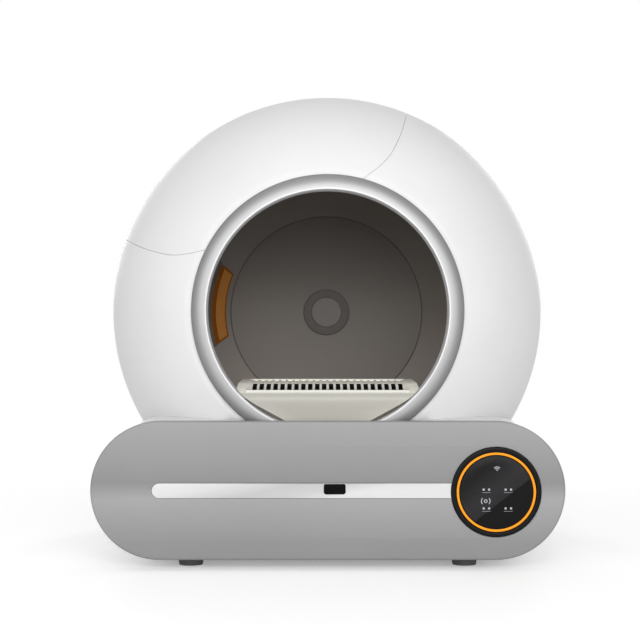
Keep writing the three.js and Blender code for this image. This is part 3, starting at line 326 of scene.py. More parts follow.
    def _grain(self, tree: bpy.types.NodeTree, place: bpy.types.NodeSocket) -> bpy.types.NodeSocket:
        """Adds the height field of the grain.

        Args:
            tree: the material's node tree.
            place: socket with the coordinates.

        Returns:
            The height socket.
        """
        scale = 1 / self.grain_size
        if self.grain is Grain.SPARK:
            cells = tree.nodes.new("ShaderNodeTexVoronoi")
            cells.feature = "SMOOTH_F1"
            cells.inputs["Scale"].default_value = scale
            tree.links.new(place, cells.inputs["Vector"])
            return cells.outputs["Distance"]
        if self.grain is Grain.BRUSHED:
            stretch = tree.nodes.new("ShaderNodeMapping")
            stretch.inputs["Scale"].default_value = BRUSH_STRETCH
            tree.links.new(place, stretch.inputs["Vector"])
            return self._noise(tree, stretch.outputs["Vector"], scale, GRAIN_DETAIL)
        return self._noise(tree, place, scale, FELT_DETAIL if self.grain is Grain.FELT else GRAIN_DETAIL)


SHELL_WHITE = Finish(
    "shell_white", srgb(226, 226, 226), 0.45, grain_size=0.0014, bump=0.000008, specular=0.3,
)
PANEL_GREY = Finish(
    "panel_grey", srgb(152, 152, 152), 0.5, grain=Grain.SPARK, grain_size=0.0007, bump=0.00003,
)
# Painted shade: each band of the front plate, above and below the strip, is painted lighter at its top and
# darker at its bottom, like light from above.
FASCIA_GREY_PAINTED_SHADE = replace(
    PANEL_GREY, name="fascia_grey", colour=srgb(138, 138, 138), specular=0.3,
    painted_shading=((0.0122, 0.9), (0.032, 0.93), (0.078, 1.2), (0.0845, 1.22), (0.1035, 0.87), (0.13, 1.0),
            (0.176, 1.16)),
)
# Painted reflection: the strip is painted lighter at both ends and darker in the middle, along a slanting
# line, like a bright edge reflected in it.
STRIP_WHITE_PAINTED_REFLECTION = Finish(
    "strip_white", srgb(205, 205, 205), 0.35, bump=0.00001, specular=0.3, along=(1.0, 0.0, -4.5),
    painted_shading=((-0.631, 1.06), (-0.573, 0.99), (-0.493, 0.79), (-0.433, 0.84), (-0.383, 1.02), (-0.276, 1.05)),
)
DISPLAY_BLACK = Finish("display_black", srgb(15, 15, 17), 0.3, grain=Grain.SMOOTH, specular=0.1)
# Painted reflection: the dark glass is painted much lighter on the upper left side of a slanting line, like
# a bright edge reflected in it.
DISPLAY_GLASS_PAINTED_REFLECTION = Finish(
    "display_glass", srgb(24, 23, 24), 0.2, grain=Grain.SMOOTH, specular=0.07, along=(0.613, 0.0, -0.79),
    painted_shading=((0.018, 1.3), (0.045, 3.0), (0.0598, 2.6), (0.0606, 0.9), (0.1, 0.9)),
)
SENSOR_BLACK = Finish("sensor_black", srgb(14, 14, 16), 0.25, grain=Grain.SMOOTH, specular=0.03)
LIGHT_AMBER = Finish(
    "light_amber", srgb(228, 142, 24), 0.35, grain=Grain.SMOOTH, glow=0.25, specular=0.15,
)
MARK_PALE = Finish("mark_pale", srgb(168, 168, 172), 0.5, grain=Grain.SMOOTH, glow=0.1, specular=0.2)
# Painted shade and highlight: the ring is painted brightest at its inner edge and darker towards its outer
# edge, all the way round.
RING_SILVER_PAINTED_SHADE = Finish(
    "ring_silver", srgb(218, 218, 219), 0.42, 0.25,
    grain_size=0.001, bump=0.000006, specular=0.3, along=None,
    painted_shading=((0.1436, 1.1), (0.1453, 0.88), (0.147, 0.6), (0.1497, 0.56), (0.1521, 0.51), (0.1545, 0.44),
            (0.1575, 0.36), (0.1599, 0.325), (0.1634, 0.275)),
)
# Painted shade: the drum's back and the sieve's trim are painted darker towards the top.
DRUM_GREY_PAINTED_SHADE = Finish(
    "drum_grey", srgb(148, 142, 136), 0.6, grain=Grain.SPARK, grain_size=0.0012, bump=0.00004, specular=0.2,
    painted_shading=((0.2, 0.98), (0.31, 0.94), (0.36, 0.76), (0.43, 0.6)),
)
# Painted light and shade: the drum's wall is painted lighter towards the bottom and darker towards the top.
DRUM_WALL_PAINTED_LIGHT = replace(
    DRUM_GREY_PAINTED_SHADE, name="drum_wall", colour=srgb(152, 145, 139),
    painted_shading=((0.16, 1.4), (0.24, 1.2), (0.31, 0.95), (0.36, 0.88), (0.43, 0.8)),
)
HUB_DARK = Finish("hub_dark", srgb(94, 88, 84), 0.55, grain=Grain.SPARK, grain_size=0.001, bump=0.00003)
HUB_GREY = Finish("hub_grey", srgb(120, 115, 111), 0.5, grain=Grain.SPARK, grain_size=0.001, bump=0.00003)
SIEVE_AMBER = Finish("sieve_amber", srgb(158, 90, 14), 0.45, bump=0.00003, specular=0.3)
SIEVE_LIGHT = Finish("sieve_light", srgb(212, 142, 70), 0.45, bump=0.00003, specular=0.3)
# Painted light and shade: the step and its grid are painted darker on the front face and lighter on the
# top, lightest towards its rear.
STEP_WHITE_PAINTED_LIGHT = Finish(
    "step_white", srgb(220, 218, 208), 0.42, bump=0.00002, specular=0.3,
    painted_shading=((0.168, 0.84), (0.19, 0.65), (0.205, 0.61), (0.2072, 0.63), (0.208, 0.88), (0.2113, 0.95),
            (0.216, 1.36), (0.222, 1.36)),
)
RUBBER_DARK = Finish("rubber_dark", srgb(92, 92, 93), 0.8, grain_size=0.0006, bump=0.00004)
PLASTIC_DARK = Finish(
    "plastic_dark", srgb(44, 44, 46), 0.55, grain=Grain.SPARK, grain_size=0.0011, bump=0.00005,
)
FELT_DARK = Finish("felt_dark", srgb(46, 46, 48), 0.95, grain=Grain.FELT, grain_size=0.0012, bump=0.0003)
BOARD_GREEN = Finish("board_green", srgb(28, 92, 58), 0.4, grain_size=0.002, bump=0.00004, variation=0.12)
ZINC_STEEL = Finish("zinc_steel", srgb(168, 170, 174), 0.35, 1.0, Grain.BRUSHED, 0.0005, 0.00001, 0.05)
ALUMINIUM = Finish("aluminium", srgb(200, 200, 204), 0.38, 1.0, Grain.BRUSHED, 0.0004, 0.00001, 0.04)
NYLON = Finish("nylon", srgb(216, 211, 198), 0.5, bump=0.00003)


def around(angle: Array, radius: Array, depth: Array) -> Array:
    """Places points by angle, radius and depth about the globe's axis.

    The point is the axis plus radius times (cosine, sine) of the angle in X and Z, and depth in Y.

    Args:
        angle: angles from +X towards +Z, in radians.
        radius: distances from the axis.
        depth: distances behind the globe's centre.

    Returns:
        The points, with the last side of length 3.
    """
    angle, radius, depth = np.broadcast_arrays(angle, radius, depth)
    return np.stack([radius * np.cos(angle), AXIS_Y + depth, AXIS_Z + radius * np.sin(angle)], -1)


def facing_front(across: Array, up: Array, depth: Array) -> Array:
    """Places a drawing in X and Z at a depth in Y."""
    return np.stack(np.broadcast_arrays(across, depth, up), -1)


def facing_up(across: Array, along: Array, height: Array) -> Array:
    """Places a drawing in X and Y at a height in Z."""
    return np.stack(np.broadcast_arrays(across, along, height), -1)


def arc(centre: Sequence[float], radius: float, start: float, end: float, steps: int) -> Array:
    """Points on an arc: the centre plus radius times (cosine, sine) of evenly spaced angles.

    Args:
        centre: centre of the arc.
        radius: radius of the arc.
        start: first angle in degrees.
        end: last angle in degrees.
        steps: number of steps.

    Returns:
        The points, one more than the steps.
    """
    angle = np.radians(np.linspace(start, end, steps + 1))
    return np.asarray(centre) + radius * np.stack([np.cos(angle), np.sin(angle)], -1)


def circle(centre: Sequence[float], radius: float, steps: int) -> Array:
    """A closed round outline, without its last point twice."""
    return arc(centre, radius, 0, 360, steps)[:-1]


def stadium(left: float, right: float, radius: float, up: float, steps: int) -> Array:
    """A closed outline of two half circles and the lines between them.

    Args:
        left: centre of the left half circle.
        right: centre of the right half circle.
        radius: radius of both.
        up: height of both centres.
        steps: steps of each half circle.

    Returns:
        The outline, anticlockwise.
    """
    ends = (arc((right, up), radius, -90, 90, steps), arc((left, up), radius, 90, 270, steps))
    return np.concatenate(ends)


def round_box(centre: Sequence[float], half: Sequence[float], corner: float, steps: int = 6) -> Array:
    """A closed rectangle with round corners.

    Args:
        centre: centre of the rectangle.
        half: half of its width and height.
        corner: radius of the corners.
        steps: steps of each corner.

    Returns:
        The outline, anticlockwise.
    """
    (x, z), (a, b) = centre, (half[0] - corner, half[1] - corner)
    corners = [(x + a, z + b, 0), (x - a, z + b, 90), (x - a, z - b, 180), (x + a, z - b, 270)]
    return np.concatenate([arc((cx, cz), corner, turn, turn + 90, steps) for cx, cz, turn in corners])


def rounded(
    corners: Sequence[Sequence[float]], radius: float, steps: int = 4, closed: bool = True
) -> Array:
    """Rounds the corners of a line.

    Each corner P gives way to a parabola from A to B, which lie on its two sides at the radius from
    P, or at LONGEST_ROUNDING of a shorter side: (1-s)^2 A + 2s(1-s) P + s^2 B.

    Args:
        corners: the line's corners.
        radius: length that each rounding takes of a side.
        steps: steps of each rounding.
        closed: whether the last corner joins the first.

    Returns:
        The rounded line.
    """
    points = np.asarray(corners, float)
    before, after = np.roll(points, 1, 0) - points, np.roll(points, -1, 0) - points
    sides = [np.linalg.norm(side, axis=1, keepdims=True) for side in (before, after)]
    reach = [np.minimum(radius, LONGEST_ROUNDING * length) / np.maximum(length, SMALLEST)
             for length in sides]
    share = np.linspace(0, 1, steps + 1)[None, :, None]
    first, last = points + before * reach[0], points + after * reach[1]
    curve = (1 - share) ** 2 * first[:, None] + 2 * share * (1 - share) * points[:, None]
    curve = curve + share ** 2 * last[:, None]
    if closed:
        return curve.reshape(-1, points.shape[1])
    return np.concatenate([points[:1], curve[1:-1].reshape(-1, points.shape[1]), points[-1:]])


def inset(loop: Array, distance: float) -> Array:
    """Moves a closed outline inwards.

    Each point moves square to the line between its two neighbours, to the side that the outline's
    signed area calls inner.

    Args:
        loop: the outline.
        distance: how far, negative to move it outwards.

    Returns:
        The moved outline.
    """
    ahead, behind = np.roll(loop, -1, 0), np.roll(loop, 1, 0)
    along = ahead - behind
    along = along / np.maximum(np.linalg.norm(along, axis=1, keepdims=True), SMALLEST)
    area = np.sum(loop[:, 0] * ahead[:, 1] - ahead[:, 0] * loop[:, 1])
    return loop + np.stack([-along[:, 1], along[:, 0]], -1) * distance * np.sign(area)


class Shape:
    """A mesh put together from grids, slabs, bands and flat caps."""

    def __init__(self) -> None:
        """Starts an empty shape."""
        self.points: list[Array] = []
        self.faces: list[Array] = []
        self.count: int = 0

    def add(self, points: Array, faces: Array) -> None:
        """Adds points and faces.

        Args:
            points: the points, with a last side of length 3.
            faces: four corners of each face, counted from the first of these points.
        """
        self.points.append(points.reshape(-1, 3))
        self.faces.append(faces + self.count)
        self.count += len(self.points[-1])

    def grid(self, points: Array, wrap_rows: bool = False, wrap_columns: bool = False) -> "Shape":
        """Adds a surface of rows and columns of points.

        Args:
            points: rows by columns by 3.
            wrap_rows: whether the last row joins the first.
            wrap_columns: whether the last column joins the first.

        Returns:
            This shape.
        """
        index = np.arange(points[..., 0].size).reshape(points.shape[:2])
        index = np.concatenate([index, index[:1]]) if wrap_rows else index
        index = np.concatenate([index, index[:, :1]], 1) if wrap_columns else index
        quads = np.stack([index[:-1, :-1], index[1:, :-1], index[1:, 1:], index[:-1, 1:]], -1)
        self.add(points, quads.reshape(-1, 4))
        return self

    def slab(self, outer: Array, inner: Array, keep: Array | None = None, wrap: bool = False) -> "Shape":
        """Adds a wall between two surfaces of the same rows and columns.

        Each kept cell gives a face on both surfaces, and each of its sides without a kept
        neighbour gives a face that joins the two.

        Args:
            outer: the outer surface, rows by columns by 3.
            inner: the inner surface, likewise.
            keep: which cells are there, or all of them.
            wrap: whether the last column joins the first.

        Returns:
            This shape.
        """
        rows, columns = outer.shape[:2]
        keep = np.ones((rows - 1, columns - (not wrap)), bool) if keep is None else keep
        index = np.arange(rows * columns).reshape(rows, columns)
        index = np.concatenate([index, index[:, :1]], 1) if wrap else index
        corners = [index[:-1, :-1], index[1:, :-1], index[1:, 1:], index[:-1, 1:]]
        fence = np.pad(keep, ((1, 1), (1, 1)))
        if wrap:
            fence[1:-1, 0], fence[1:-1, -1] = keep[:, -1], keep[:, 0]
        beside = [fence[1:-1, :-2], fence[2:, 1:-1], fence[1:-1, 2:], fence[:-2, 1:-1]]
        quads = np.stack(corners, -1)[keep]
        far = rows * columns
        faces = [quads, quads[:, ::-1] + far]
        for side, neighbour in enumerate(beside):
            start, end = corners[side], corners[(side + 1) % 4]
            open_side = keep & ~neighbour
            start, end = start[open_side], end[open_side]
            faces.append(np.stack([end, start, start + far, end + far], -1))
        self.add(np.concatenate([outer.reshape(-1, 3), inner.reshape(-1, 3)]), np.concatenate(faces))
        return self

    def cap(self, loops: Sequence[Array]) -> "Shape":
        """Adds a flat area with an outline and holes.

        Args:
            loops: the outline's points, then those of each hole, n by 3.

        Returns:
            This shape.
        """
        triangles = np.array(tessellate_polygon([[Vector(point) for point in loop] for loop in loops]))
        self.add(np.concatenate(loops), np.concatenate([triangles, triangles[:, -1:]], 1))
        return self

    def lathe(self, profile: Array, centre: Sequence[float], steps: int, upright: bool = False) -> "Shape":
        """Adds a profile turned about an axis.

        The point is the centre plus radius times (cosine, sine) of the turn, and the height along
        the axis. A profile off the axis at both ends is closed on itself.

        Args:
            profile: radius and height of each point.
            centre: X and Z of an axis along Y, or X and Y of an upright one.
            steps: steps of the turn.
            upright: whether the axis is upright.

        Returns:
            This shape.
        """
        turn = np.linspace(0, 2 * np.pi, steps, endpoint=False)[:, None]
        radius, height = profile[None, :, 0], profile[None, :, 1]
        place = facing_up if upright else facing_front
        points = place(centre[0] + radius * np.cos(turn), centre[1] + radius * np.sin(turn), height)
        return self.grid(points, wrap_rows=True, wrap_columns=bool(profile[0, 0] > SMALLEST))

    def piece(self, name: str, sharp: float = ROUND, bevel: float = 0.0) -> bpy.types.Object:
        """Makes the object: points in one place merged, faces outwards, smooth but for sharp edges.

        Args:
            name: name of the object.
            sharp: angle in degrees past which an edge is sharp.
            bevel: width of a bevel on sharp edges, or 0.

        Returns:
            The object.
        """
        mesh = bpy.data.meshes.new(name)
        faces = self._cleaned(np.concatenate(self.faces))
        mesh.from_pydata(np.concatenate(self.points).tolist(), [], faces)
        work = bmesh.new()
        work.from_mesh(mesh)
        bmesh.ops.remove_doubles(work, verts=work.verts, dist=SAME_POINT)
        loose = [vertex for vertex in work.verts if not vertex.link_faces]
        bmesh.ops.delete(work, geom=loose, context="VERTS")
        bmesh.ops.recalc_face_normals(work, faces=work.faces)
        work.to_mesh(mesh)
        work.free()
        mesh.polygons.foreach_set("use_smooth", np.ones(len(mesh.polygons), bool))
        mesh.set_sharp_from_angle(angle=math.radians(sharp))
        piece = bpy.data.objects.new(name, mesh)
        bpy.context.scene.collection.objects.link(piece)
        if bevel:
            edges = piece.modifiers.new("soft_edges", "BEVEL")
            edges.width = bevel
            edges.segments = BEVEL_SEGMENTS
            edges.limit_method = "ANGLE"
            edges.angle_limit = math.radians(BEVEL_ANGLE)
            edges.harden_normals = True
        return piece

    @staticmethod
    def _cleaned(faces: Array) -> list[list[int]]:
        """Turns quads whose last two corners are one into triangles."""
        single = faces[:, 2] == faces[:, 3]
        return faces[~single].tolist() + faces[single][:, :3].tolist()

    def plate(
        self, outer: Array, holes: Sequence[Array], front: float, back: float,
        edge: float = 0.0005, hole_edge: float = 0.0003, place: Place = facing_front, steps: int = 4,
    ) -> "Shape":
        """Adds a flat plate with a round front edge and round edges on its holes.

        Ring k of an edge lies at angle a from 0 to 90 degrees: edge (1 - sin a) inside the outline
        and edge (1 - cos a) behind the front.

        Args:
            outer: outline of the plate.
            holes: outlines of its holes.
            front: depth of the face whose edges are round.
            back: depth of the other face.
            edge: radius of the outer edge.
            hole_edge: radius of the edges of the holes.
            place: turns a drawing and a depth into points.
            steps: steps of each rounding.

        Returns:
            This shape.
        """
        side = math.copysign(1, back - front)
        angle = np.radians(np.linspace(0, 90, steps + 1))
        faces_front, faces_back = [], []
        for loop, radius, inwards in [(outer, edge, 1), *((hole, hole_edge, -1) for hole in holes)]:
            rings = [inset(loop, inwards * radius * (1 - math.sin(a))) for a in angle]
            depths = [front + side * radius * (1 - math.cos(a)) for a in angle]
            rings, depths = [*rings, loop], [*depths, back]
            points = np.stack([place(ring[:, 0], ring[:, 1], depth) for ring, depth in zip(rings, depths)])
            self.grid(points, wrap_columns=True)
            faces_front.append(points[0])
            faces_back.append(points[-1])
        return self.cap(faces_front).cap(faces_back)

    def bowl(self, loop: Array, wall: float, top: float, bottom: float, edge: float) -> "Shape":
        """Adds an open bowl with a round rim, and walls and a floor of one thickness.

        From outside to inside, three curves set how far each ring lies inside the outline, and how
        high: a quarter circle at the floor, a half circle over the rim, and a quarter circle back.

        Args:
            loop: outline of the bowl in X and Y.
            wall: thickness of the walls and of the floor.
            top: height of the rim.
            bottom: height of the outer floor.
            edge: radius of the bottom edges.

        Returns:
            This shape.
        """
        angle = np.radians(np.linspace(0, 90, 5))
        turn = np.radians(np.linspace(0, 180, 9))
        moves = [*(edge * (1 - np.sin(angle))), *(wall / 2 * (1 - np.cos(turn))),
                 *(wall + edge * (1 - np.cos(angle)))]
        depths = [*(bottom + edge * (1 - np.cos(angle))), *(top - wall / 2 * (1 - np.sin(turn))),
                  *(bottom + wall + edge * (1 - np.sin(angle)))]
        rings = [inset(loop, move) for move in moves]
        points = np.stack([facing_up(ring[:, 0], ring[:, 1], depth) for ring, depth in zip(rings, depths)])
        return self.grid(points, wrap_columns=True).cap([points[0]]).cap([points[-1]])


def dress(piece: bpy.types.Object, finish: Finish, body: str, slot: str, *nodes: str) -> bpy.types.Object:
    """Gives a piece its finish and its moving body, and hides the nodes that it stands for.

    Args:
        piece: the piece, in its place.
        finish: its finish.
        body: the body that it rides on.
        slot: the record's slot; not used.
        nodes: the nodes that it stands for.

    Returns:
        The piece.
    """
    piece.data.materials.append(finish.material())
    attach(piece, body)
    if nodes:
        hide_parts(*nodes)
    LOG.info("%s: %d faces, %s on %s", piece.name, len(piece.data.polygons), finish.name, body)
    return piece


def spread(breaks: Sequence[float], step: float) -> Array:
    """Values from the first break to the last, through every break, no further apart than a step.

    Args:
        breaks: rising values.
        step: longest distance between two values.

    Returns:
        The values.
    """
    parts = [np.linspace(start, end, max(int(math.ceil((end - start) / step)), 1) + 1)[:-1]
             for start, end in zip(breaks[:-1], breaks[1:])]
    return np.append(np.concatenate(parts), breaks[-1])


def between(values: Array, low: float, high: float) -> Array:
    """Tells which cells between neighbouring values lie between two limits."""
    middle = (values[1:] + values[:-1]) / 2
    return (middle > low) & (middle < high)


@dataclass(frozen=True)
class Globe:
    """The white globe: two shells, the quarter hatch, the vented cap, the ring in the mouth and its seal.

    Depths are measured from the globe's centre, radii from its axis. The second value of the crest,
    and of each point of the collar and of the flange, is a place in Y.
    """

    radius: float = 0.282
    wall: float = 0.003
    mouth: float = MOUTH_DEPTH
    split: float = 0.047
    rear: float = 0.218
    skirt: float = 0.156
    chin: float = -0.21
    hatch_middle: float = math.radians(114.3)
    hatch_gap: float = 0.00015
    seam: tuple[Pair, ...] = (
        (0.365, 0.447), (0.472, 0.475), (0.532, 0.504), (0.631, 0.589), (0.727, 0.702), (0.798, 0.787),
        (0.798, 1.1),
    )
    seam_radius: float = 0.03
    edge: float = 0.0008
    row_angle: float = math.radians(2.0)
    front_columns: tuple[int, int, int] = (48, 60, 90)
    back_columns: int = 150
    hatch_columns: int = 70
    cap_radius: float = 0.1738
    cap_edge: float = 0.001
    vents: int = 5
    vent_low: float = 0.095
    vent_pitch: float = 0.013
    vent_half: Pair = (0.065, 0.0025)
    vent_taper: float = 0.011
    vent_corner: float = 0.0024
    vent_edge: float = 0.0006
    flange: tuple[Pair, ...] = (
        (0.15, 0.2278), (0.15, 0.2245), (0.1506, 0.224), (0.176, 0.224), (0.1766, 0.2245),
        (0.1766, 0.2278),
    )
    crest: Pair = (0.1451, -0.2202)
    nose_inside: float = 0.0015
    nose_outside: float = 0.0181
    nose_height: float = 0.0098
    nose_points: int = 61
    collar: tuple[Pair, ...] = (
        (0.1632, -0.2157), (0.1629, -0.2153), (0.1605, -0.2153), (0.1605, -0.2054),
        (0.1601, -0.205), (0.144, -0.205), (0.1436, -0.2054),
    )
    seal_inner: float = 0.1512
    seal_corner: float = 0.0015

    def build(self) -> None:
        """Builds every piece of the globe."""
        self.front()
        self.back()
        self.hatch()
        self.cap()
        self.ring()
        self.seal()

    def depths(self, start: float, end: float, breaks: Sequence[float] = ()) -> Array:
        """Depths of the shell's rows: minus the radius times the cosine of evenly spaced angles."""
        angles = [math.acos(-depth / self.radius) for depth in (start, *breaks, end)]
        return -self.radius * np.cos(spread(angles, self.row_angle))

    def radii(self, depth: Array, inner: bool) -> Array:
        """Radius of the shell at some depths: the root of the sphere's radius squared less theirs."""
        return np.sqrt((self.radius - self.wall * inner) ** 2 - depth ** 2)

    def seam_angle(self, radius: Array, gap: float) -> Array:
        """Half the angle that the hatch takes at a radius.

        The seam is a line of (across, along) points that rounding makes smooth; the gap draws it in
        across and out along.

        Args:
            radius: radii from the axis.
            gap: distance from the middle of the seam.

        Returns:
            The angles in radians.
        """
        line = rounded(np.array(self.seam) * self.radius, self.seam_radius, FINE_ROUNDING, closed=False)
        line = line + np.array([-gap, gap])
        reach, angle = np.hypot(line[:, 0], line[:, 1]), np.arctan2(line[:, 0], line[:, 1])
        return np.interp(radius, reach, angle)

    def sweep(self, depth: Array, stops: Callable[[Array], list[Array]], counts: Sequence[int],
              keep: Array | None, name: str) -> bpy.types.Object:
        """Builds a part of the shell whose columns stop at angles that change with the radius.

        Args:
            depth: depths of the rows.
            stops: gives the angles where stretches of columns end, for the radii of the rows.
            counts: columns in each stretch.
            keep: which cells are there.
            name: name of the piece.

        Returns:
            The piece.
        """
        surfaces = []
        for inner in (False, True):
            radius = self.radii(depth, inner)
            angles = stops(radius)
            parts = [start[:, None] + (end - start)[:, None] * np.linspace(0, 1, count, endpoint=False)
                     for start, end, count in zip(angles[:-1], angles[1:], counts)]
            angle = np.concatenate([*parts, angles[-1][:, None]], 1)
            surfaces.append(around(angle, radius[:, None], depth[:, None]))
        return Shape().slab(*surfaces, keep).piece(name, bevel=self.edge)

    def skirt_angle(self, radius: Array) -> Array:
        """Angle below the middle at which the shell ends on a level edge."""
        return np.arcsin(np.minimum(self.skirt / radius, 1))

    def front(self) -> None:
        """Builds the front shell: from the hatch around both sides, with a chin under the mouth."""
        depth = self.depths(self.mouth, self.split - SEAT_GAP, (self.chin,))
        middle, turn = self.hatch_middle, 2 * np.pi

        def stops(radius: Array) -> list[Array]:
            """Returns the angles of the hatch's seams and of the skirt's two edges."""
            seam, skirt = self.seam_angle(radius, 0), self.skirt_angle(radius)
            return [middle + seam - turn, np.pi + skirt - turn, -skirt, middle - seam]

        counts = self.front_columns
        keep = np.ones((len(depth) - 1, sum(counts)), bool)
        keep[~between(depth, self.mouth, self.chin), counts[0]:counts[0] + counts[1]] = False
        piece = self.sweep(depth, stops, counts, keep, "globe_front")
        dress(piece, SHELL_WHITE, "base", "shell_white", "shell_front")

    def back(self) -> None:
        """Builds the rear shell, open below its skirt."""
        depth = self.depths(self.split, self.rear)

        def stops(radius: Array) -> list[Array]:
            """Returns the angles of the skirt's two edges."""
            return [-self.skirt_angle(radius), np.pi + self.skirt_angle(radius)]

        piece = self.sweep(depth, stops, (self.back_columns,), None, "globe_back")
        dress(piece, SHELL_WHITE, "base", "shell_white", "shell_rear")

    def hatch(self) -> None:
        """Builds the quarter hatch, drawn in from its opening by a gap."""
        depth = self.depths(self.mouth, self.split - SEAT_GAP)

        def stops(radius: Array) -> list[Array]:
            """Returns the angles of the hatch's two sides."""
            seam = self.seam_angle(radius, self.hatch_gap)
            return [self.hatch_middle - seam, self.hatch_middle + seam]

        piece = self.sweep(depth, stops, (self.hatch_columns,), None, "globe_hatch")
        dress(piece, SHELL_WHITE, "lid", "shell_white", "hatch")

    def cap(self) -> None:
        """Builds the vented cap that closes the globe's flat back, with a flange inside."""
        rear = AXIS_Y + self.rear
        vents = [round_box((0, AXIS_Z + self.vent_low + self.vent_pitch * row),
                           (self.vent_half[0] - self.vent_taper * row, self.vent_half[1]), self.vent_corner)
                 for row in range(self.vents)]
        shape = Shape().plate(circle((0, AXIS_Z), self.cap_radius, TURN_CAP), vents,
                              rear, rear - self.wall, self.cap_edge, self.vent_edge)
        shape.lathe(np.array(self.flange), (0, AXIS_Z), TURN_CAP)
        dress(shape.piece("globe_cap"), SHELL_WHITE, "base", "shell_white", "rear_cap")

    def ring(self) -> None:
        """Builds the rounded ring in the mouth, with a flange and a collar behind it.

        Its nose is two quarters of ellipses about the crest: (cosine, sine) times width and height.
        """
        turn = np.radians(np.linspace(-180, 0, self.nose_points))
        width = np.where(turn < -np.pi / 2, self.nose_inside, self.nose_outside)
        radius = self.crest[0] + width * np.cos(turn)
        nose = np.stack([radius, self.crest[1] + self.nose_height * np.sin(turn)], -1)
        shape = Shape().lathe(np.concatenate([nose, self.collar]), (0, AXIS_Z), TURN_RING)
        dress(shape.piece("mouth_ring", CRISP), RING_SILVER_PAINTED_SHADE, "base", "ring_silver", "entry_ring")

    def seal(self) -> None:
        """Builds the felt seal around the drum's neck."""
        low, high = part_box("mouth_seal")
        profile = rounded([(self.seal_inner, low.y), (high.x, low.y), (high.x, high.y),
                           (self.seal_inner, high.y)], self.seal_corner)
        dress(Shape().lathe(profile, (0, AXIS_Z), TURN_WIDE).piece("neck_seal"), FELT_DARK,
              "base", "felt_dark", "mouth_seal")


